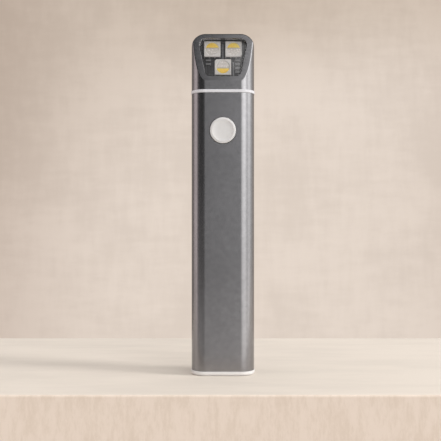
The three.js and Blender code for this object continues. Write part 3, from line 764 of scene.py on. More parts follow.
@dataclass(frozen=True)
class Metal(Grained):
    """Metal with a blasted, drawn or tinned skin.

    Attributes:
        flecks: Flecks of tone to the metre.
        stretch: How much longer the grain is along Z.
    """

    spread: float = 0.03
    metallic: float = 1.0
    grain: float = 0.16
    depth: float = 0.0004
    mottle: float = 0.09
    clouds: float = 45.0
    flecks: float = 700.0
    stretch: float = 1.0

    def noises(self, tree: Tree) -> tuple[Wire, Wire]:
        """The grain, and the clouds with flecks in them.

        Args:
            tree: The material's node tree.

        Returns:
            Both noises.
        """
        place = tree.place()
        along = tree.stretched(place, (1.0, 1.0, 1.0 / self.stretch))
        cloud = tree.noise(place, self.clouds, 3.0) * 0.5 + tree.noise(place, self.flecks, 3.0, 0.6) * 0.5
        return tree.noise(along, 1 / (self.grain * MM), 3.0, 0.6), cloud


@dataclass(frozen=True)
class Board(Finish):
    """A printed circuit board: lacquer over traces, which stand up a little.

    Attributes:
        trace: Colour of the lacquer over copper.
        pitch: Distance between traces in millimetres.
        relief: How far they stand up in millimetres.
        patches, ripples: Patches of one direction and ripples of the lacquer to the metre.
    """

    spread: float = 0.15
    coat: Pair = (0.4, 0.15)
    trace: Triple = (0.05, 0.05, 0.055)
    pitch: float = 0.9
    relief: float = 0.03
    patches: float = 260.0
    ripples: float = 900.0

    def shader(self, tree: Tree) -> Wire:
        """Lacquer whose traces run along X or Z in patches.

        Args:
            tree: The material's node tree.

        Returns:
            The shader.
        """
        place = tree.place()
        x, _, z = tree.parts(place)
        patch = tree.noise(place, self.patches, 0.0).step(0.47, 0.5)
        waves = 2 * math.pi / (self.pitch * MM)
        across, along = (tree.maths("SINE", run * waves).step(0.2, 0.5) for run in (x, z))
        traces = patch * across + (1 - patch) * along
        lacquer = tree.noise(place, self.ripples, 2.0)
        height = tree.bump(traces * 0.8 + lacquer * 0.2, self.relief)
        return self.surface(tree, tree.mix(traces, self.colour, self.trace), lacquer - 0.5, height)


@dataclass(frozen=True)
class Pane(Finish):
    """Thin clear plastic or gel: what lies behind it shows, and its skin mirrors most at a slant.

    It mirrors gloss times facing + (1 - facing) s^5, where s is 1 less the cosine of the slant.

    Attributes:
        haze: Share of light that the pane scatters itself.
        wave: Depth of the skin's waves in millimetres.
        gloss: How much more than plain plastic it mirrors.
        facing: Share that plain plastic mirrors where it is looked at straight on.
        clear: Colour of what goes through.
        waves, dust: Waves and specks of dust to the metre.
    """

    haze: float = 0.02
    wave: float = 0.002
    gloss: float = 1.0
    facing: float = 0.04
    clear: Triple = (0.975, 0.97, 0.97)
    waves: float = 300.0
    dust: float = 2500.0

    def shader(self, tree: Tree) -> Wire:
        """Transparent below, a little milk, and a mirror on top.

        Args:
            tree: The material's node tree.

        Returns:
            The shader.
        """
        place = tree.place()
        normal = tree.bump(tree.noise(place, self.waves, 2.0), self.wave)
        through = tree.wire("BsdfTransparent", None, {"Color": self.clear})
        milk = tree.wire("BsdfPrincipled", None, {"Base Color": self.colour, "Roughness": 0.5})
        dust = tree.noise(place, self.dust, 2.0).step(0.5, 0.8)
        body = tree.wire("MixShader", None, {0: self.haze * (0.6 + 0.8 * dust), 1: through, 2: milk})
        gloss = {"Base Color": (1.0,) * 3, "Metallic": 1.0, "Roughness": self.roughness, "Normal": normal}
        mirror = tree.wire("BsdfPrincipled", None, gloss)
        slant = tree.wire("LayerWeight", None, {"Blend": 0.5}, "Facing")
        share = (self.facing + (1 - self.facing) * slant**5) * self.gloss
        return tree.wire("MixShader", None, {0: share, 1: body, 2: mirror})


@dataclass(frozen=True)
class PhosphorGel(Finish):
    """Yellow phosphor in silicone: fine grains that settle unevenly.

    Attributes:
        deep: Colour where the phosphor lies thick.
        painted_glow: Light that it gives off of its own, as a share of its colour: partly its real
            fluorescence in daylight, partly painted light, as it is fixed and brightens it whatever light
            falls on it.
        grains, drifts: Grains and drifts of them to the metre.
        relief: Depth of the grains in millimetres.
    """

    spread: float = 0.2
    under: float = 0.3
    reach: float = 0.4
    bleed: Triple = (1.0, 0.7, 0.2)
    coat: Pair = (0.5, 0.12)
    deep: Triple = (0.80, 0.52, 0.05)
    painted_glow: float = 0.12
    grains: float = 9000.0
    drifts: float = 420.0
    relief: float = 0.01

    def shader(self, tree: Tree) -> Wire:
        """Grainy yellow under a soft gloss, with a fixed painted light of its own.

        Args:
            tree: The material's node tree.

        Returns:
            The shader.
        """
        place = tree.place()
        grain = tree.noise(place, self.grains, 4.0, 0.7)
        thick = (grain * 0.5 + tree.noise(place, self.drifts, 2.0) * 0.5).step(0.35, 0.65)
        tone = tree.mix(thick, self.deep, self.colour)
        # The phosphor gives off a fixed light of its own: painted light that brightens it whatever falls on
        # it.
        return self.surface(tree, tone, grain - 0.5, tree.bump(grain, self.relief), self.painted_glow)


FINISHES: tuple[Finish, ...] = (
    Metal(Slot.GREY_ALUMINIUM, (0.3, 0.298, 0.31), 0.26),
    Grained(Slot.WHITE_TRIM, (0.628, 0.633, 0.672), 0.38, mottle=0.02),
    Grained(Slot.WHITE_BUTTON, (0.62, 0.62, 0.625), 0.3, mottle=0.02, under=0.1),
    Pane(Slot.CLEAR_WINDOW, (0.62, 0.62, 0.65), 0.05, haze=0.014, wave=0.0007, gloss=1.6),
    Grained(Slot.BLACK_PLASTIC, (0.016, 0.016, 0.018), 0.32),
    Board(Slot.BLACK_BOARD, (0.030, 0.031, 0.034), 0.4, trace=(0.05, 0.051, 0.056)),
    Grained(Slot.GREY_PAD, (0.26, 0.28, 0.3), 0.8, grain=0.4),
    Metal(Slot.PLAIN_ALUMINIUM, (0.72, 0.72, 0.73), 0.38, stretch=8.0),
    Grained(Slot.LED_WHITE, (0.672, 0.668, 0.657), 0.42, mottle=0.03, under=0.2),
    PhosphorGel(Slot.PHOSPHOR, (0.84, 0.715, 0.145), 0.45),
    Pane(Slot.CLEAR_SILICONE, (0.88, 0.855, 0.825), 0.12, haze=1.1, wave=0.01),
    Metal(Slot.TIN, (0.27, 0.275, 0.285), 0.5, grain=0.08, mottle=0.12),
    Metal(Slot.STEEL, (0.56, 0.57, 0.58), 0.3, grain=0.1, stretch=6.0),
    Grained(Slot.AMBER_FILM, (0.42, 0.17, 0.03), 0.3, depth=0.001),
    Grained(Slot.CREAM_PLASTIC, (0.72, 0.66, 0.5), 0.5),
    Board(Slot.GREEN_BOARD, (0.012, 0.07, 0.035), 0.4, trace=(0.025, 0.13, 0.06)),
    Grained(Slot.GREY_PLASTIC, (0.07, 0.074, 0.08), 0.55),
    Grained(Slot.CHIP_BLACK, (0.013, 0.013, 0.015), 0.5, grain=0.08),
    Grained(Slot.FERRITE, (0.045, 0.045, 0.048), 0.6, grain=0.12, depth=0.01),
    Grained(Slot.TAN_CERAMIC, (0.4, 0.27, 0.14), 0.55, grain=0.06, mottle=0.12),
    Metal(Slot.POUCH_FOIL, (0.5, 0.52, 0.55), 0.36, grain=0.5, depth=0.01),
    Grained(Slot.FOAM, (0.035, 0.036, 0.04), 0.95, grain=0.2, depth=0.08),
    Grained(Slot.RED_WIRE, (0.45, 0.02, 0.014), 0.45, grain=0.1),
    Grained(Slot.BLACK_WIRE, (0.014, 0.014, 0.016), 0.45, grain=0.1),
)
# Painted light: the base cap gets a brighter copy of the neck ring's white, in the same slot, for the light
# that the table throws up on it
LIT_BASE_WHITE = Grained(Slot.WHITE_TRIM, (0.775, 0.768, 0.765), 0.38, mottle=0.02)


@dataclass
class Workshop:
    """Dresses pieces and ties them to the frame.

    Attributes:
        materials: The material of each slot.
        sharp: Angle from which an edge of a piece without known normals stays sharp.
    """

    materials: dict[Slot, bpy.types.Material] = field(default_factory=dict)
    sharp: float = math.radians(38.0)

    def mix_finishes(self) -> None:
        """Makes every finish and dresses the carried-over nodes, as the record names them."""
        for finish in FINISHES:
            self.materials[finish.slot] = finish.made()
        for part in frame["record"]["subparts"]:
            node = frame["nodes"][part["node"]]
            for slot in node.material_slots:
                slot.material = self.materials[Slot(part["material_slot"])]

    def add(
        self,
        piece: bpy.types.Object,
        slot: Slot,
        nodes: Sequence[str] = (),
        body: Body = Body.WAND,
        own: Finish | None = None,
    ) -> None:
        """Dresses a piece and ties it to the frame.

        Args:
            piece: The finished mesh object, at the origin.
            slot: Its finish.
            nodes: The nodes that it stands for.
            body: The body that it rides on.
            own: A finish of its own within that slot.
        """
        mesh = piece.data
        mesh.materials.clear()
        mesh.materials.append(own.made() if own else self.materials[slot])
        if not mesh.has_custom_normals:
            smooth(mesh)
            mesh.set_sharp_from_angle(angle=self.sharp)
            piece.modifiers.new("even", "WEIGHTED_NORMAL").keep_sharp = True
        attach(piece, body.value)
        if nodes:
            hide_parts(*nodes)
        LOG.info("%s: %d faces, %s", piece.name, len(mesh.polygons), slot.value)


# Pieces


@dataclass(frozen=True)
class BodyForm:
    """Sizes that the sleeve, the trims and the head share."""

    half_width: float = 9.5018
    half_depth: float = 5.0
    middle: float = 0.125
    corner: float = 4.2
    cap_top: float = 1.3
    sleeve_top: float = 85.0
    neck_top: float = 85.9
    face_foot: float = 88.6
    head_top: float = 103.2312
    head_corner: float = 4.2
    back_corner: float = 2.4
    tilt: float = math.radians(11.3)
    wall: float = 0.9
    head_wall: float = 1.1
    button_height: float = 73.6
    base_screw: float = 6.652
    steps: int = 32

    def section(self) -> Outline:
        """The body's cross-section, about its own middle."""
        return Outline.centred((self.half_width, self.half_depth), self.corner, self.steps)

    def upright(self) -> Placement:
        """Placement of pieces that follow the cross-section."""
        return Placement((0.0, self.middle, 0.0))

    def front(self) -> Placement:
        """Placement of the button, whose Z axis points out of the front from the body's middle."""
        return Placement((0.0, self.middle, self.button_height), up=(0.0, 0.0, 1.0), out=(0.0, -1.0, 0.0))

    def screw(self, side: int) -> Placement:
        """Placement of the base screw on one side, -1 for the left."""
        return Placement((side * self.base_screw, self.middle, 0.0))

    def face(self) -> Placement:
        """Placement of pieces on the slanted face, with Y up along it and Z out of it."""
        sine, cosine = math.sin(self.tilt), math.cos(self.tilt)
        origin = (0.0, self.middle - self.half_depth, self.face_foot)
        return Placement(origin, up=(0.0, sine, cosine), out=(0.0, -cosine, sine))

    def half_width_at(self, height: np.ndarray, inset: float) -> np.ndarray:
        """Half the head's width at a height, less an inset: straight, then round the upper corner."""
        return self.half_width - inset - rolled(height, self.head_top - inset, self.head_corner - inset)[1]


@dataclass(frozen=True)
class WindowForm:
    """The window's outline on the slanted face, and the depths behind it."""

    foot: float = 1.35
    head: float = 13.52
    half_width: float = 7.6918
    flare: float = math.radians(11.6)
    lower_radius: float = 1.7
    upper_radius: float = 2.2
    recess: float = 0.15
    back: float = 1.55
    flange_front: float = 1.15
    flange_reach: float = 0.42
    gap: float = 0.1
    opening_edge: float = 0.06
    opening_steps: int = 6
    steps: int = 24

    @property
    def middle(self) -> Pair:
        """The outline's middle, across and up."""
        return 0.0, (self.foot + self.head) / 2

    def outline(self) -> Outline:
        """A trapezium with rounded corners, about the foot of the slanted face.

        Returns:
            The outline.
        """
        wide, low, high = self.half_width, self.lower_radius, self.upper_radius
        narrow = wide - (self.head - self.foot) * math.tan(self.flare)
        corners = [(narrow, self.foot, low), (wide, self.head, high), (-wide, self.head, high)]
        return Outline.rounded(corners + [(-narrow, self.foot, low)], self.steps)


@dataclass(frozen=True)
class HeadSkin:
    """One skin of the head, outer or inner, as a grid of points and normals.

    Every point is first found on a core, drawn in by the edge radius, and then moved out along its normal
    by that radius. Where two surfaces meet, the core point stays and its normal turns from one to the
    other in steps, which rounds the edge.

    Attributes:
        form: The body's sizes.
        inset: How far the skin lies inside the outer form.
        edge: Radius of its edges.
        crown: How far the slanted face's normals lean out at its sides.
        front, side, arc: Steps along half the front, a side and a corner.
        turn: Steps round an edge.
        rise, roll: Rows up the slanted face and round the upper corner.
        crowding: Power by which the rows crowd towards the face's foot.
    """

    form: BodyForm
    inset: float = 0.0
    edge: float = 0.42
    crown: float = math.radians(2.0)
    front: int = 30
    side: int = 8
    arc: int = 14
    turn: int = 4
    rise: int = 40
    roll: int = 30
    crowding: float = 1.6

    def _rows(self) -> tuple[np.ndarray, np.ndarray, np.ndarray]:
        """Where the rows lie, from the foot up.

        Returns:
            Core height, share of the face's tilt and share of the turn onto the top, row by row.
        """
        form, core = self.form, self.inset + self.edge
        chin = form.face_foot - core * (1 / math.cos(form.tilt) - 1) / math.tan(form.tilt)
        top, radius = form.head_top - core, form.head_corner - core
        rising = chin + (top - radius - chin) * np.linspace(0.0, 1.0, self.rise + 1)[1:] ** self.crowding
        rolling = top - radius + radius * np.sin(np.linspace(0.0, math.pi / 2, self.roll + 1)[1:])
        turning = np.linspace(0.0, 1.0, self.turn + 1)
        heights = [[form.neck_top + self.edge], 0 * turning + chin, rising, rolling, 0 * turning[1:] + top]
        tilts = [[0.0], turning, np.ones(self.rise + self.roll + self.turn)]
        lids = [np.zeros(2 + self.turn + self.rise + self.roll), turning[1:]]
        return tuple(np.concatenate(values) for values in (heights, tilts, lids))

    def face_rows(self) -> tuple[int, int]:
        """First and last row of the slanted face."""
        first = 1 + self.turn
        return first, first + self.rise + self.roll

    def _stretches(self, height: np.ndarray, tilt: np.ndarray) -> list[tuple[np.ndarray, np.ndarray]]:
        """The right half of each row of the core: front, corner, side, corner and back.

        A corner is an arc from where it leaves the front or the back to where it meets the side. Once these
        have passed each other, the whole arc is the point where front or back and side meet.

        Args:
            height: Core height of each row.
            tilt: Share of the face's tilt of each row.

        Returns:
            Points across and back, and their normals, of each stretch.
        """
        form, core = self.form, self.inset + self.edge
        depth, radius, top = form.half_depth - core, form.corner - core, form.head_top - core
        over, behind = form.half_width - core - radius, depth - radius
        back_sine, back_fall = rolled(height, top, form.back_corner - core)
        back = depth - back_fall
        slope = (height - form.face_foot) * math.tan(form.tilt) + core / math.cos(form.tilt)
        front = np.maximum(-depth, slope - form.half_depth)
        half = form.half_width_at(height, core)
        roll = np.arcsin(rolled(height, top, form.head_corner - core)[0])
        reach = np.arccos(np.clip((half - over) / radius, -1.0, 1.0))
        sideways = vectors(np.cos(roll), 0.0, np.sin(roll))
        corners = []
        for level, sign in ((front, -1), (back, 1)):
            leave = np.arcsin(np.clip((sign * level - behind) / radius, 0.0, 1.0))
            first, last = (-leave, -reach) if sign < 0 else (reach, leave)
            angle, gone = first + (last - first) * spaced(self.arc), leave <= reach
            x = np.where(gone, half, over + radius * np.cos(angle))
            y = np.where(gone, level, sign * behind + radius * np.sin(angle))
            ways = np.where(gone[..., None], sideways, vectors(np.cos(angle), np.sin(angle), 0.0))
            corners.append((vectors(x, y), ways))
        before, after = corners[0][0], corners[1][0]
        across = before[:, :1, 0] * spaced(self.front)
        lean, swell = form.tilt * tilt, self.crown * tilt * across / form.half_width
        ahead = vectors(np.sin(swell), -np.cos(lean) * np.cos(swell), np.sin(lean) * np.cos(swell))
        start, end = before[:, -1:, 1], after[:, :1, 1]
        side = vectors(half, start + (end - start) * spaced(self.side))
        home = after[:, -1:, 0] * (1 - spaced(self.front // 2))
        astern = vectors(0 * home, np.cos(np.arcsin(back_sine)), back_sine)
        return [
            (vectors(across, front), ahead),
            corners[0],
            (side, np.broadcast_to(sideways, side.shape[:2] + (3,))),
            corners[1],
            (vectors(home, back), astern),
        ]

    def grid(self) -> tuple[np.ndarray, np.ndarray]:
        """Points and outward normals of the skin by row and column.

        The columns start at the middle of the front, pass the right side and end at the middle of the back,
        then come back mirrored on the left.

        Returns:
            Both grids, in the body's own place, without the shift of its middle.
        """
        height, tilt, lid = (values[:, None] for values in self._rows())
        stretches = self._stretches(height, tilt)
        turning = spaced(self.turn)[:, 1:-1, None]
        columns = stretches[:1]
        for (spots, ways), after in zip(stretches, stretches[1:]):
            bends = swung(ways[:, -1:], after[1][:, :1], turning)
            columns += [(np.repeat(spots[:, -1:], self.turn - 1, axis=1), bends), after]
        place, normal = (np.concatenate(values, axis=1) for values in zip(*columns))
        normal = swung(normal, UP, lid[..., None])
        points = vectors(place[..., 0], place[..., 1], height) + self.edge * normal
        halves = ((half, (half * MIRRORED)[:, ::-1]) for half in (points, normal))
        return tuple(np.concatenate(pair, axis=1) for pair in halves)

    def face_loop(self, grid: np.ndarray) -> np.ndarray:
        """The slanted face's own outline, anticlockwise from the middle of its foot."""
        (first, last), end = self.face_rows(), self.front
        right = np.concatenate([grid[first, : end + 1], grid[first + 1 : last, end], grid[last, end::-1]])
        return np.concatenate([right, (right * MIRRORED)[::-1][1:-1]])

    def kept(self, grid: np.ndarray) -> np.ndarray:
        """Which faces of the grid to make.

        The slanted face is left out, as it holds the window. So are the corners of its frame, where the
        rows and the columns that round its edges run along the same arcs.

        Args:
            grid: The skin's points.

        Returns:
            Whether to make each face, by row and column.
        """
        (first, last), end = self.face_rows(), self.front
        keep = np.ones((grid.shape[0] - 1, grid.shape[1]), dtype=bool)
        for half in (keep, keep[:, -2::-1]):
            half[first:last, :end] = False
            for rows in (slice(1, first), slice(last, None)):
                half[rows, end : end + self.turn] = False
        keep[first:last, -1] = False
        return keep


@dataclass(frozen=True)
class Housing:
    """Sleeve, head shell, neck coupler and base cap."""

    shop: Workshop
    form: BodyForm = BodyForm()
    window: WindowForm = WindowForm()
    slide: float = 0.1
    proud: float = 0.15
    lip_edge: float = 0.1
    hole_radius: float = 4.02
    hole_edge: float = 0.1
    web_bottom: float = 80.6
    web_top: float = 81.6
    plug_top: float = 88.0
    ring_edge: float = 0.12
    plug_edge: float = 0.15
    ring_steps: int = 4
    soft: float = 0.1
    inlet: float = 0.2
    slot_half: float = 3.3
    slot_front: float = -2.35
    slot_back: float = 2.2
    neck_screw_place: Pair = (4.8, 1.85)
    neck_screw_hole: float = 0.7
    inner_edge: float = 0.05
    spigot_top: float = 4.3
    cap_edge: float = 0.7
    cap_lip: float = 0.08
    cap_steps: int = 6
    socket_half: Pair = (4.57, 1.68)
    socket_radius: float = 1.6
    mouth_edge: float = 0.12
    sink_radius: float = 1.05
    sink_depth: float = 0.8
    screw_hole: float = 0.6

    def sleeve(self) -> None:
        """The extruded tube, with the hole for the button."""
        form, wall = self.form, self.form.wall
        low, high = (-wall, form.cap_top), (0.0, form.sleeve_top)
        profile = Outline.box(low, high, self.lip_edge, EDGE_STEPS).at(0.0)
        tube = Shell(form.upright()).hoop(form.section(), profile).made("sleeve_tube")
        radius, wide, depth = self.hole_radius, self.hole_radius + self.hole_edge, form.half_depth
        hole = [(0.0, depth - 2 * wall), (radius, depth - 2 * wall), (radius, depth - self.hole_edge)]
        hole += [(wide, depth), (wide, depth + wall), (0.0, depth + wall)]
        carve(tube, [Shell(form.front()).turned(np.array(hole), WIDE)])
        self.shop.add(tube, Slot.GREY_ALUMINIUM, ["sleeve"])

    def _opening(
        self, shell: Shell, skin: HeadSkin, grid: np.ndarray, side: int
    ) -> tuple[np.ndarray, np.ndarray]:
        """Closes a skin's slanted face down to the window's opening.

        The outer skin's opening has a rounded edge: at angle t, from 0 to a right angle, it lies 1 - sin t
        outside the rim and 1 - cos t behind it, times the edge's radius, and its normal leans in by t.

        Args:
            shell: Takes the faces.
            skin: The skin.
            grid: Its points.
            side: 1 for the outer skin and -1 for the inner one.

        Returns:
            The opening's last row of points, and their normals.
        """
        form, window = self.form, self.window
        face = Placement((0.0, -form.half_depth, form.face_foot), up=form.face().up, out=form.face().out)
        angle = np.linspace(0.0, math.pi / 2, window.opening_steps + 1)
        profile = window.opening_edge * np.stack([1 - np.sin(angle), np.cos(angle) - 1], axis=1)
        ways = np.stack([-np.sin(angle), np.cos(angle)], axis=1)
        if side < 0:
            profile, ways = np.array([(0.0, -form.head_wall)]), ways[-1:]
        loop = skin.face_loop(grid)
        up = (loop - np.asarray(face.origin)) @ np.asarray(face.up)
        bearings = np.arctan2(up - window.middle[1], loop[:, 0] - window.middle[0])
        ring = window.outline().seen_from(window.middle, bearings)
        rows = face.apply(ring.carried(profile))
        leans = face.turn(vectors(*(column * ways[:, :1] for column in ring.normals.T), ways[:, 1:]))
        band = np.stack([loop, rows[0]])
        swell = skin.crown * band[..., :1] / form.half_width
        bulge = side * (np.cos(swell) * np.asarray(face.out) + np.sin(swell) * RIGHT)
        shell.grid(band, bulge).grid(rows, leans)
        return rows[-1], leans[-1]

    def head(self) -> None:
        """The head's outer and inner skins, joined at its foot and through the window's opening."""
        form = self.form
        shell, feet, rims = Shell(form.upright()), [], []
        for skin, side in ((HeadSkin(form), 1), (HeadSkin(form, form.head_wall, self.inner_edge), -1)):
            points, normals = skin.grid()
            shell.grid(points, side * normals, keep=skin.kept(points)).lid(points[-1])
            feet.append((points[0], side * normals[0]))
            rims.append(self._opening(shell, skin, points, side))
        shell.grid(*(np.stack(pair) for pair in zip(*rims)))
        (outer, outward), (inner, inward) = feet
        outer_foot, inner_foot = (loop * (1 - UP) + form.neck_top * UP for loop in (outer, inner))
        shell.grid(np.stack([outer, outer_foot]), np.stack([outward, outward]))
        shell.grid(np.stack([outer_foot, inner_foot]))
        shell.grid(np.stack([inner_foot, inner]), np.stack([inward, inward]))
        self.shop.add(shell.made("head_skin"), Slot.GREY_ALUMINIUM, ["head_shell"])

    def neck(self) -> None:
        """The coupler: a proud ring, plugs above and below it, and a web with a slot and two holes."""
        form, wall, foot, soft = self.form, self.form.wall, self.form.sleeve_top, self.soft
        spigot, plug = -wall - self.slide, -form.head_wall - self.slide
        corners = [
            (spigot - self.inlet, self.web_bottom, 0.0), (spigot, self.web_bottom, soft),
            (spigot, foot, 0.0), (self.proud, foot, self.ring_edge),
            (self.proud, form.neck_top, self.ring_edge), (plug, form.neck_top, 0.0),
            (plug, self.plug_top, self.plug_edge), (plug - wall, self.plug_top, soft),
            (plug - wall, foot, 0.0), (spigot - wall, foot, 0.0),
            (spigot - wall, self.web_top, soft), (spigot - wall - self.inlet, self.web_top, 0.0),
        ]
        path = rounded_path(corners, self.ring_steps)
        ring = Shell(form.upright()).swept(form.section(), path).made("neck_ring")
        below, above = self.web_bottom - wall, self.web_top + wall
        half, (x, y), radius = self.slot_half, self.neck_screw_place, self.neck_screw_hole
        slot = Shell().block((-half, self.slot_front, below), (half, self.slot_back, above), 2 * soft)
        hole = np.array([(0.0, below), (radius, below), (radius, above), (0.0, above)])
        carve(ring, [slot] + [Shell(Placement((side * x, y, 0.0))).turned(hole, FINE) for side in (-1, 1)])
        self.shop.add(ring, Slot.WHITE_TRIM, ["neck_coupler"])

    def base(self) -> None:
        """The base cap: a lip with a rounded edge, a spigot, the socket's mouth and two screw sinks."""
        form, wall, top, soft = self.form, self.form.wall, self.form.cap_top, self.soft
        outer, rim = -wall - self.slide, self.mouth_edge
        corners = [
            (self.proud - 2 * self.cap_edge, 0.0, 0.0), (self.proud, 0.0, self.cap_edge),
            (self.proud, top, self.cap_lip), (outer, top, 0.0), (outer, self.spigot_top, 2 * soft),
            (outer - wall, self.spigot_top, soft), (outer - wall, top, 0.0),
            (outer - wall - self.inlet, top, 0.0),
        ]
        path = rounded_path(corners, self.cap_steps)
        cap = Shell(form.upright()).swept(form.section(), path).made("base_lip")
        past, floor = top + PAST, self.sink_depth
        profile = np.array([(rim, -PAST), (rim, 0.0), (0.0, rim), (0.0, past)])
        mouth = Outline.centred(self.socket_half, self.socket_radius)
        cutters = [Shell(form.upright()).swept(mouth, profile)]
        wide, hole = self.sink_radius, self.screw_hole
        sink = [(0.0, -PAST), (wide + rim, -PAST), (wide + rim, 0.0), (wide, rim)]
        sink += [(wide, floor), (hole, floor), (hole, past), (0.0, past)]
        cutters += [Shell(form.screw(side)).turned(np.array(sink), SLIM) for side in (-1, 1)]
        carve(cap, cutters)
        # The base cap wears the brighter copy of the trim's white: painted light from the table below it.
        self.shop.add(cap, Slot.WHITE_TRIM, ["base_cap"], own=LIT_BASE_WHITE)


@dataclass(frozen=True)
class Button:
    """The push button: a dished cap with a raised rim, on a flange and a stem."""

    shop: Workshop
    form: BodyForm = BodyForm()
    radius: float = 3.9
    proud: float = 0.4
    rim_width: float = 0.6
    rim_fall: float = 0.11
    rim_radius: float = 0.2
    crest_radius: float = 0.16
    dish: float = 0.22
    stem_radius: float = 1.6
    flange_radius: float = 4.6
    flange_front: float = 1.0
    flange_back: float = 1.4
    stem_depth: float = 2.25
    soft: float = 0.1
    rings: int = 40
    crest_rings: int = 3
    steps: int = 8

    def cap(self) -> None:
        """Turns the cap's profile.

        The dish falls from the rim by its depth times 1 - share to the fourth power, where share is the
        distance from the axis over the dish's radius.
        """
        depth, soft = self.form.half_depth, self.soft
        front, inner = depth + self.proud, self.radius - self.rim_width
        step, back = depth - self.flange_back, depth - self.flange_front
        share = np.linspace(1.0, 0.0, self.rings)
        dish = np.stack([inner * share, front - self.dish * (1 - share**4)], axis=1)[self.crest_rings :]
        corners = [
            (0.0, depth - self.stem_depth, 0.0), (self.stem_radius, depth - self.stem_depth, soft),
            (self.stem_radius, step, soft), (self.flange_radius, step, soft),
            (self.flange_radius, back, soft), (self.radius, back, 0.0),
            (self.radius, front - self.rim_fall, self.rim_radius), (inner, front, self.crest_radius),
            (*dish[0], 0.0),
        ]
        profile = np.concatenate([rounded_path(corners, self.steps), dish[1:]])
        cap = Shell(self.form.front()).turned(profile, WIDE).made("button_dish")
        self.shop.add(cap, Slot.WHITE_BUTTON, ["button_cap"], Body.BUTTON)


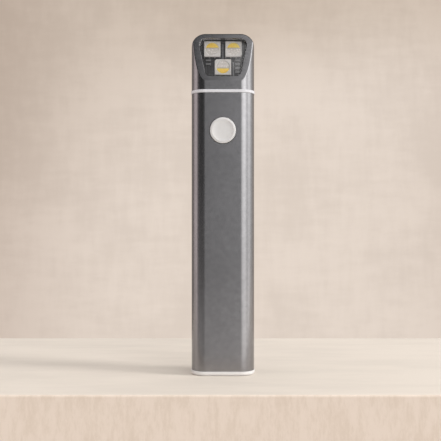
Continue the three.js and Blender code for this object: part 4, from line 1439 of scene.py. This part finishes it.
@dataclass(frozen=True)
class LightEngine:
    """What lies behind the slanted face: window, frame, LED board, LEDs and resistors."""

    shop: Workshop
    form: BodyForm = BodyForm()
    window: WindowForm = WindowForm()
    pane_crown: float = 0.3
    pane_core: float = 0.04
    pane_edge: float = 0.18
    pane_inlet: float = 0.5
    pane_rings: int = 16
    frame_front: float = 1.6
    frame_edge: float = 0.15
    soft: float = 0.05
    foot: float = 3.25
    board_front: float = 3.3
    board_thickness: float = 0.8
    board_reach: float = 0.3
    board_edge: float = 0.03
    board_steps: int = 2
    board_inlet: float = 0.4
    led_size: float = 5.0
    led_height: float = 1.6
    led_edge: float = 0.12
    led_corner: float = 0.16
    led_steps: int = 4
    corner_cut: float = 0.5
    led_offset: float = 3.24
    upper_row: float = 10.75
    lower_row: float = 4.92
    cup_radius: float = 2.0
    cup_depth: float = 0.9
    cup_lean: float = 0.3
    cup_rim: float = 0.12
    cup_corner: float = 0.12
    cup_steps: int = 24
    fill_gap: float = 0.02
    fill_edge: float = 0.04
    phosphor_fill: float = 0.84
    gel_fill: float = 0.73
    divider: float = 0.3
    divider_wall: float = 0.22
    seat: float = 0.05
    lead_width: float = 1.3
    lead_pitch: float = 1.6
    lead_thickness: float = 0.05
    lead_height: float = 1.2
    lead_foot: float = 0.02
    lead_edge: float = 0.03
    strips: tuple[tuple[float, float, float, float], ...] = ((3.2, 2.7, 7.1, 0.45), (0.0, 8.2, 13.2, 0.3))
    strip_sunk: float = 0.02
    strip_proud: float = 0.04
    strip_edge: float = 0.015
    resistor_size: Triple = (1.5, 0.7, 0.45)
    resistor_across: float = 4.45
    resistor_top: float = 7.95
    resistor_pitch: float = 1.25
    terminal: float = 0.34
    terminal_proud: float = 0.03
    terminal_edge: float = 0.06

    def inside_head(self, piece: bpy.types.Object) -> bpy.types.Object:
        """Draws in a piece's points that lie past the head's inner side walls.

        Args:
            piece: The piece.

        Returns:
            The same piece.
        """
        vertices = piece.data.vertices
        places = read(vertices, "co", 3)
        limit = self.form.half_width_at(places[:, 2] / MM, self.form.head_wall + self.seat) * MM
        places[:, 0] = np.clip(places[:, 0], -limit, limit)
        vertices.foreach_set("co", places.ravel())
        tidy(piece.data)
        return piece

    def pane(self) -> None:
        """The clear plate with its glued flange, its front a shallow dome.

        The dome's rings are the front's rim, drawn in towards its middle by a share, and they rise by the
        crown times one less the square of that share.
        """
        window, gap, reach = self.window, -self.window.gap, self.window.flange_reach
        front, step, back = -window.recess, -window.flange_front, -window.back
        corners = [
            (gap - self.pane_inlet, front, 0.0), (gap, front, self.pane_edge), (gap, step, 0.0),
            (reach, step, self.soft), (reach, back, self.soft), (gap - self.pane_inlet, back, 0.0),
        ]
        rows = window.outline().carried(rounded_path(corners))
        middle = np.array([*window.middle, front])
        share = np.linspace(1.0, self.pane_core, self.pane_rings)[:, None, None]
        dome = middle + share * (rows[0] - middle) + self.pane_crown * (1 - share**2) * UP
        shell = Shell(self.form.face()).grid(rows).lid(rows[-1]).grid(dome).lid(dome[-1])
        self.shop.add(self.inside_head(shell.made("window_pane")), Slot.CLEAR_WINDOW, ["window"])

    def surround(self) -> None:
        """The black frame round the LEDs."""
        soft = self.soft
        low, high = (0.0, -self.foot), (self.window.flange_reach, -self.frame_front)
        profile = Outline.box(low, high, (soft, soft, self.frame_edge, soft), EDGE_STEPS).at(0.0)
        shell = Shell(self.form.face()).hoop(self.window.outline(), profile)
        self.shop.add(self.inside_head(shell.made("light_surround")), Slot.BLACK_PLASTIC, ["light_frame"])

    def board(self) -> None:
        """The LED board."""
        reach, edge, front = self.board_reach, self.board_edge, -self.board_front
        back = front - self.board_thickness
        corners = [(reach - self.board_inlet, back, 0.0), (reach, back, edge)]
        corners += [(reach, front, edge), (reach - self.board_inlet, front, 0.0)]
        path = rounded_path(corners, self.board_steps)
        shell = Shell(self.form.face()).swept(self.window.outline(), path)
        self.shop.add(self.inside_head(shell.made("led_base")), Slot.BLACK_BOARD, ["led_board"])

    def cup_half(self, upper: bool, gap: float) -> Outline:
        """One side of the round cup, cut off by the divider, with rounded corners there.

        The corner arcs touch both the circle and the cut: their centres lie radius less corner from the
        middle, one corner radius inside the cut.

        Args:
            upper: Whether it is the side above the divider.
            gap: How far it is drawn in all round.

        Returns:
            The outline.
        """
        corner, radius = self.cup_corner, self.cup_radius - gap
        edge = self.divider_wall / 2 + gap + (self.divider if upper else -self.divider)
        rise = edge + corner
        over = math.sqrt((radius - corner) ** 2 - rise**2)
        angle = math.atan2(rise, over)
        arcs = [
            (0.0, 0.0, radius, angle, math.pi - angle),
            (-over, rise, corner, math.pi - angle, 1.5 * math.pi),
            (over, rise, corner, 1.5 * math.pi, 2 * math.pi + angle),
        ]
        outline = Outline.of_arcs(arcs, self.cup_steps)
        if upper:
            return outline
        flip = np.array([1.0, -1.0])
        return Outline(outline.centres[::-1] * flip, outline.radii[::-1], outline.normals[::-1] * flip)

    def led(self, label: str, across: float, height: float, turned: bool) -> None:
        """One LED: its package, phosphor and clear gel.

        Args:
            label: Ending of its nodes' names.
            across: Its middle, across the face.
            height: Its middle, up the face.
            turned: Whether it is turned half round.
        """
        place = self.form.face().moved(across, height, -self.foot)
        place = place.turned() if turned else place
        half, cut, soft = self.led_size / 2, self.corner_cut, self.led_corner
        corners = [(half - cut, -half, soft), (half, -half + cut, soft), (half, half, soft)]
        corners += [(-half, half, soft), (-half, -half, soft)]
        steps, top, rim, lean = self.led_steps, self.led_height, self.cup_rim, -self.cup_lean
        package = Shell(place).plate(Outline.rounded(corners, steps), 0.0, top, self.led_edge, steps)
        piece, floor = package.made(f"led_{label}_package"), top - self.cup_depth
        wall = np.array([(lean, floor), (0.0, top - rim), (rim, top), (rim, top + PAST)])
        carve(piece, [Shell(place).swept(self.cup_half(upper, 0.0), wall) for upper in (True, False)])
        self.shop.add(piece, Slot.LED_WHITE, [f"led_package_{label}"])
        self.leads(label, place)
        for upper, kind, slot, depth in (
            (True, "phosphor", Slot.PHOSPHOR, self.phosphor_fill),
            (False, "clear_fill", Slot.CLEAR_SILICONE, self.gel_fill),
        ):
            level, edge = floor + depth, self.fill_edge
            reach = min(0.0, lean * (1 - depth / (self.cup_depth - rim))) - self.fill_gap
            profile = np.array([(lean, floor + self.seat), (reach, level - edge), (reach - edge, level)])
            fill = Shell(place).swept(self.cup_half(upper, self.fill_gap), profile)
            self.shop.add(fill.made(f"led_{label}_{kind}"), slot, [f"led_{kind}_{label}"])

    def leads(self, label: str, place: Placement) -> None:
        """The bent leads on the two sides of a package that carry them, above and below it. They are real
        leads, and their dark tin also darkens the package's lower side, which lies in shade: painted shade.

        Args:
            label: Ending of its nodes' names.
            place: Placement of the package.
        """
        half, width, thick = self.led_size / 2, self.lead_width / 2, self.lead_thickness
        shell = Shell(place)
        # The leads on the lower side also stand in for the shade there: painted shade.
        for side in (-1, 1):
            for column in (-1, 0, 1):
                x, y = column * self.lead_pitch, side * half
                low, high = sorted((y - side * thick, y + side * thick))
                ends = (x - width, low, self.lead_foot), (x + width, high, self.lead_height)
                shell.block(*ends, self.lead_edge)
        self.shop.add(shell.made(f"led_{label}_leads"), Slot.TIN)

    def traces(self) -> None:
        """Tinned strips on the board: one beside the lower LED, one between the upper ones."""
        shell = Shell(self.form.face())
        bottom, top = -self.board_front - self.strip_sunk, -self.board_front + self.strip_proud
        for across, low, high, width in self.strips:
            shell.block((across - width / 2, low, bottom), (across + width / 2, high, top), self.strip_edge)
        self.shop.add(shell.made("led_board_traces"), Slot.TIN)

    def leds(self) -> None:
        """The two upper LEDs and the lower one, which is turned round."""
        self.led("left", -self.led_offset, self.upper_row, False)
        self.led("right", self.led_offset, self.upper_row, False)
        self.led("lower", 0.0, self.lower_row, True)

    def resistors(self) -> None:
        """Chip resistors: a ceramic body between two tinned ends, which stand a little proud of it."""
        length, width, height = self.resistor_size
        half, wide, proud = length / 2, width / 2, self.terminal_proud
        inner, slim = half - self.terminal + proud, wide - proud
        for side, label, count in ((1, "right", 4), (-1, "left", 2)):
            for row in range(count):
                up = self.resistor_top - row * self.resistor_pitch - wide
                across, out = side * self.resistor_across, self.seat - self.board_front
                shell = Shell(self.form.face().moved(across, up, out))
                for start, end in ((-half, self.terminal - half), (half - self.terminal, half)):
                    shell.block((start, -wide, 0.0), (end, wide, height), self.terminal_edge)
                shell.block((-inner, -slim, proud), (inner, slim, height - proud), proud)
                piece = shell.made(f"chip_resistor_{label}_{row + 1}")
                self.shop.add(piece, Slot.TIN, [f"led_resistor_{label}_{row + 1}"])


@dataclass(frozen=True)
class BaseFittings:
    """The charging socket and the two screws that show under the base."""

    shop: Workshop
    form: BodyForm = BodyForm()
    bottom: float = 0.5
    top: float = 7.8
    can_half: Pair = (4.47, 1.58)
    can_corner: float = 1.53
    can_wall: float = 0.3
    can_mouth: float = 0.12
    can_lip: float = 0.08
    soft: float = 0.05
    tongue_half: Pair = (3.35, 0.35)
    tongue_bottom: float = 1.0
    tongue_edge: float = 0.08
    core_half: Pair = (4.12, 1.23)
    core_corner: float = 1.1675
    core_bottom: float = 6.4
    core_grip: float = 0.3
    screw_head: float = 0.95
    screw_shank: float = 0.5
    screw_bottom: float = 0.15
    screw_head_height: float = 0.6
    screw_top: float = 6.75
    screw_rim: float = 0.15
    screw_point: float = 0.2
    cross: Pair = (0.6, 0.13)
    cross_depth: float = 0.3
    cross_edge: float = 0.02

    def socket(self) -> None:
        """The stamped shell, and the tongue with its contacts."""
        low, high, soft = (-self.can_wall, self.bottom), (0.0, self.top), self.soft
        edges = (self.can_mouth, soft, soft, self.can_lip)
        profile = Outline.box(low, high, edges, EDGE_STEPS).at(0.0)
        can = Shell(self.form.upright()).hoop(Outline.centred(self.can_half, self.can_corner), profile)
        self.shop.add(can.made("socket_can"), Slot.STEEL, ["socket_shell"])
        (width, depth), top = self.tongue_half, self.core_bottom + self.core_grip
        tongue = Shell(self.form.upright())
        tongue.block((-width, -depth, self.tongue_bottom), (width, depth, top), self.tongue_edge)
        tongue.plate(Outline.centred(self.core_half, self.core_corner), self.core_bottom, self.top, soft)
        self.shop.add(tongue.made("socket_core"), Slot.BLACK_PLASTIC, ["socket_tongue"])

    def screws(self) -> None:
        """Cross-head screws, head down."""
        low, end, head, shank = self.screw_bottom, self.screw_top, self.screw_head, self.screw_shank
        step, floor = low + self.screw_head_height, low + self.cross_depth
        corners = [(0.0, low, 0.0), (head, low, self.screw_rim), (head, step, self.soft)]
        corners += [(shank, step, 0.0), (shank, end, self.screw_point), (0.0, end, 0.0)]
        for side, label in ((-1, "left"), (1, "right")):
            place = self.form.screw(side)
            screw = Shell(place).turned(rounded_path(corners), SLIM).made(f"cap_screw_{label}")
            cuts = []
            for x, y in (self.cross, self.cross[::-1]):
                cuts.append(Shell(place).block((-x, -y, low - PAST), (x, y, floor), self.cross_edge))
            carve(screw, cuts)
            self.shop.add(screw, Slot.STEEL, [f"base_screw_{label}"])


# Studio


@dataclass(frozen=True)
class Table:
    """A plain pale slab under the wand.

    Attributes:
        half_width, front, back, thickness: Its sizes about the wand.
        corner, edge: Radii of its corners and edges.
        steps: Steps round an edge.
        colour, streak: Its top, and the share of that colour in its streaks.
        front_colour, front_dark: Its front, plain and between the grain.
        grain, streaks, pores: Features of each pattern to the metre.
        relief: Depth of the pores.
        roughness, drift: Its roughness, and how far that drifts.
    """

    half_width: float = 700.0
    front: float = -29.3
    back: float = 68.7
    thickness: float = 60.0
    corner: float = 2.0
    edge: float = 0.6
    steps: int = 5
    colour: Triple = (0.69, 0.636, 0.572)
    streak: float = 0.94
    front_colour: Triple = (0.725, 0.624, 0.543)
    front_dark: Triple = (0.66, 0.558, 0.472)
    grain: float = 460.0
    streaks: float = 90.0
    pores: float = 900.0
    relief: float = 0.03
    roughness: float = 0.62
    drift: float = 0.2

    def slab(self) -> None:
        """The slab, its upper face at the height that the wand stands on."""
        outline = Outline.box((-self.half_width, self.front), (self.half_width, self.back), self.corner)
        slab = Shell().plate(outline, -self.thickness, 0.0, self.edge, self.steps).made("table")
        material = bpy.data.materials.new("table")
        tree = Tree(material)
        place = tree.place()
        grain = tree.noise(tree.stretched(place, (1.0, 1.0, 0.3)), self.grain, 6.0, 0.75)
        streaks = tree.noise(tree.stretched(place, (0.25, 1.0, 1.0)), self.streaks, 5.0, 0.6)
        pores = tree.noise(place, self.pores, 3.0)
        _, depth, _ = tree.parts(place)
        before = depth.step((self.front + self.edge) * MM, (self.front + self.edge / 3) * MM)
        dark = tuple(value * self.streak for value in self.colour)
        top = tree.mix(streaks.step(0.35, 0.6), dark, self.colour)
        side = tree.mix(grain.step(0.36, 0.60), self.front_dark, self.front_colour)
        sockets = {
            "Base Color": tree.mix(before, top, side),
            "Roughness": self.roughness + (pores - 0.5) * self.drift,
            "Normal": tree.bump(pores, self.relief),
        }
        tree.close(tree.wire("BsdfPrincipled", None, sockets))
        slab.data.materials.append(material)


class Tint(Enum):
    """Tints of the light."""

    WARM = (1.0, 0.87, 0.76)
    ROSE = (1.0, 0.86, 0.84)
    COOL = (0.98, 0.98, 1.0)
    CREAM = (1.0, 0.985, 0.965)


@dataclass(frozen=True)
class Panel:
    """Light from one azimuth.

    Attributes:
        azimuth: In degrees, 0 at the camera and 90 at its right.
        tint: Its tint.
        low, level, high: Its strength from below, from the side and from above.
    """

    azimuth: float
    tint: Tint
    low: float
    level: float
    high: float


@dataclass(frozen=True)
class Studio:
    """Soft light all round: bright panels at the right and far left, and a dark flag between.

    Heights are those of a direction, which is 1 long: from -1 straight down to 1 straight up.

    Attributes:
        panels: The light by azimuth.
        rise, dip: Heights over which it goes from level to high and, below the horizon, to low.
        over, under: Heights over which it fades into ceiling and, below the horizon, ground.
        wall: Colour of the wall that the camera sees, where the painted light on it is brightest.
        wall_far: Its colour far to the left and right of that, where the painted light has fallen off to
            painted shade.
        bright: How far right of the middle the painted light is brightest.
        plaster: The share of its colour in the plaster's darker strokes.
        corner: The same at the upper left, as painted shade.
        top: The same along the top, most of all at the right, as painted shade.
        clouds, strokes: How close the plaster's clouds and strokes stand.
        ceiling: Light from above, as it is mirrored.
        skylight: Light from above, as it falls on plain surfaces.
        ground: Light from below.
        from_table: Tint of the light from below the horizon.
        strongest: Strength that stands for a full colour.
        from_front: How much more plain surfaces get from the front.
        from_right: How much less they get from the right, where the key panel stands.
    """

    panels: tuple[Panel, ...] = (
        Panel(-180, Tint.WARM, 0.42, 0.42, 0.42),
        Panel(-140, Tint.WARM, 0.42, 0.38, 0.38),
        Panel(-118, Tint.ROSE, 0.60, 0.26, 0.26),
        Panel(-104, Tint.ROSE, 1.05, 0.96, 0.98),
        Panel(-78, Tint.ROSE, 1.15, 1.27, 1.29),
        Panel(-64, Tint.COOL, 0.85, 0.11, 0.05),
        Panel(-35, Tint.COOL, 0.85, 0.07, 0.03),
        Panel(-20, Tint.COOL, 0.72, 0.055, 0.01),
        Panel(-9, Tint.COOL, 0.66, 0.095, 0.0),
        Panel(0, Tint.COOL, 0.82, 0.26, 0.31),
        Panel(4, Tint.COOL, 0.90, 0.43, 0.53),
        Panel(7.5, Tint.CREAM, 0.92, 0.92, 0.84),
        Panel(13.5, Tint.CREAM, 1.12, 1.66, 1.86),
        Panel(20, Tint.CREAM, 1.28, 1.76, 3.10),
        Panel(42, Tint.CREAM, 1.65, 1.85, 3.80),
        Panel(51, Tint.CREAM, 1.85, 0.98, 1.60),
        Panel(60, Tint.CREAM, 1.95, 0.86, 1.60),
        Panel(68, Tint.CREAM, 2.35, 1.32, 3.10),
        Panel(84, Tint.CREAM, 2.80, 1.50, 2.90),
        Panel(98, Tint.CREAM, 2.60, 0.85, 1.20),
        Panel(130, Tint.WARM, 1.20, 0.60, 0.60),
        Panel(180, Tint.WARM, 0.42, 0.42, 0.42),
    )
    rise: Pair = (0.03, 0.3)
    dip: Pair = (0.10, 0.20)
    over: Pair = (0.46, 0.78)
    under: Pair = (0.2, 0.6)
    wall: Triple = (0.79, 0.685, 0.60)
    wall_far: Triple = (0.64, 0.533, 0.457)
    bright: float = 0.05
    plaster: Triple = (0.915, 0.91, 0.905)
    corner: Triple = (0.86, 0.842, 0.82)
    top: Triple = (0.84, 0.815, 0.78)
    clouds: float = 9.0
    strokes: float = 85.0
    ceiling: Triple = (0.16, 0.16, 0.16)
    skylight: Triple = (1.15, 1.11, 1.08)
    ground: Triple = (0.80, 0.72, 0.64)
    from_table: Triple = (1.0, 0.945, 0.885)
    strongest: float = 4.0
    from_front: float = 0.12
    from_right: float = 0.3

    def scaled(self, light: Triple) -> Triple:
        """A light as a share of the strongest."""
        return tuple(value / self.strongest for value in light)

    def ring(self, tree: Tree, turn: Wire, height: str) -> Wire:
        """The panels' light at one of their heights, by azimuth.

        Args:
            tree: The world's node tree.
            turn: Azimuth as a share of a full turn, 0.5 at the camera.
            height: The panel's field for that height.

        Returns:
            The light, as a share of the strongest.
        """
        stops = []
        for panel in self.panels:
            strength = getattr(panel, height) / self.strongest
            stops.append((panel.azimuth / 360 + 0.5, tuple(share * strength for share in panel.tint.value)))
        return tree.wire("ValToRGB", {"stops": stops}, {0: turn})

    def light(self, tree: Tree, x: Wire, y: Wire, z: Wire) -> Wire:
        """The panels by azimuth, fading into ceiling and ground.

        Args:
            tree: The world's node tree.
            x, y, z: The three numbers of a direction.

        Returns:
            The shader.
        """
        turn = tree.maths("ARCTAN2", x, 0.0 - y) / (2 * math.pi) + 0.5
        low, level, high = (self.ring(tree, turn, height) for height in ("low", "level", "high"))
        ring = tree.mix(z.step(*self.rise), level, high)
        ring = tree.mix((0.0 - z).step(*self.dip), ring, tree.times(low, self.from_table))
        diffuse = tree.wire("LightPath", output="Is Diffuse Ray")
        above = tree.mix(diffuse, self.scaled(self.ceiling), self.scaled(self.skylight))
        upper = tree.mix(z.step(*self.over), ring, above)
        whole = tree.mix((0.0 - z).step(*self.under), upper, self.scaled(self.ground))
        lean = 1.0 - (y * self.from_front + x * self.from_right) * diffuse
        return tree.wire("Background", None, {"Color": whole, "Strength": lean * self.strongest})

    def backdrop(self, tree: Tree, direction: Wire, x: Wire, z: Wire) -> Wire:
        """The wall: clouds and strokes of plaster, under painted light that is brightest a little right of
        the middle, with painted shade at both sides, at the upper left and on top.

        Args:
            tree: The world's node tree.
            direction: Where the camera looks.
            x, z: Two of its three numbers.

        Returns:
            The shader.
        """
        strokes = []
        for scale in ((1.0, 1.0, 0.2), (0.2, 1.0, 1.0)):
            strokes.append(tree.noise(tree.stretched(direction, scale), self.strokes, 3.0, 0.6))
        clouds = tree.noise(direction, self.clouds, 4.0) * 0.5 + (strokes[0] + strokes[1]) * 0.25
        # Painted light and shade on the wall: brightest a little right of the middle, painted shade towards
        # both sides, at the upper left and along the top.
        off = x - self.bright
        tone = tree.mix((off * off).step(0.012, 0.13), self.wall, self.wall_far)
        tone = tree.mix(clouds.step(0.38, 0.62), tree.times(tone, self.plaster), tone)
        tone = tree.mix((x * 0.5 - z * 0.8).step(-0.30, -0.06), tree.times(tone, self.corner), tone)
        edge = z.step(0.15, 0.29) * (0.3 + x.step(-0.2, 0.05) * 0.7)
        return tree.wire("Background", None, {"Color": tree.mix(edge, tone, tree.times(tone, self.top))})

    def surroundings(self) -> None:
        """The world: soft light for the wand, and for the camera a wall with painted light and shade."""
        world = bpy.data.worlds.new("studio")
        bpy.context.scene.world = world
        tree = Tree(world)
        direction = tree.wire("TexCoord", output="Generated")
        x, y, z = tree.parts(direction)
        shaders = {1: self.light(tree, x, y, z), 2: self.backdrop(tree, direction, x, z)}
        camera = tree.wire("LightPath", output="Is Camera Ray")
        tree.close(tree.wire("MixShader", None, {0: camera, **shaders}), "OutputWorld")


@dataclass(frozen=True)
class KeyPanel:
    """A soft panel at the right, which lays the wand's faint shadow to the left.

    Attributes:
        place, aim: Where it stands and what it faces, in metres.
        side: Length of its sides in metres.
        power: In watts.
        colour: Its tint.
    """

    place: Triple = (0.50, -0.13, 0.56)
    aim: Triple = (0.0, 0.0, 0.03)
    side: float = 0.12
    power: float = 2.15
    colour: Triple = (1.0, 0.97, 0.94)

    def hang(self) -> None:
        """Makes the light, hidden from the camera and from mirrors."""
        data = bpy.data.lights.new("key_panel", "AREA")
        data.size, data.energy, data.color = self.side, self.power, self.colour
        panel = bpy.data.objects.new("key_panel", data)
        panel.location = self.place
        x, y, z = np.subtract(self.aim, self.place)
        panel.rotation_euler = (math.atan2(math.hypot(x, y), -z), 0.0, math.atan2(-x, y))
        panel.visible_camera, panel.visible_glossy = False, False
        bpy.context.scene.collection.objects.link(panel)


@dataclass(frozen=True)
class Camera:
    """The camera, level in front of the wand, as the photograph was taken.

    Attributes:
        place: Where it stands, in millimetres.
        lens, sensor: Focal length and width of the picture in millimetres.
        clip: Nearest and furthest distance that it sees, in metres.
    """

    place: Triple = (-0.73, -231.5, 46.6)
    lens: float = 61.8
    sensor: float = 36.0
    clip: Pair = (0.005, 20.0)

    def stand(self) -> None:
        """Makes the camera, looking along +Y."""
        data = bpy.data.cameras.new("view")
        data.sensor_width, data.lens = self.sensor, self.lens
        data.clip_start, data.clip_end = self.clip
        eye = bpy.data.objects.new("view", data)
        eye.location = tuple(value * MM for value in self.place)
        eye.rotation_euler = (math.pi / 2, 0.0, 0.0)
        scene = bpy.context.scene
        scene.collection.objects.link(eye)
        scene.camera = eye
        scene.view_settings.view_transform = "Standard"


def main() -> None:
    """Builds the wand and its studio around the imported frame."""
    logging.basicConfig(level=logging.INFO, format="%(name)s: %(message)s")
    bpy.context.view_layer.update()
    Camera().stand()
    Studio().surroundings()
    KeyPanel().hang()
    Table().slab()
    shop = Workshop()
    shop.mix_finishes()
    housing, engine, fittings = Housing(shop), LightEngine(shop), BaseFittings(shop)
    for build in (
        housing.sleeve, housing.head, housing.neck, housing.base, Button(shop).cap,
        engine.pane, engine.surround, engine.board, engine.leds, engine.traces, engine.resistors,
        fittings.socket, fittings.screws,
    ):
        build()


if __name__ == "__main__":
    main()
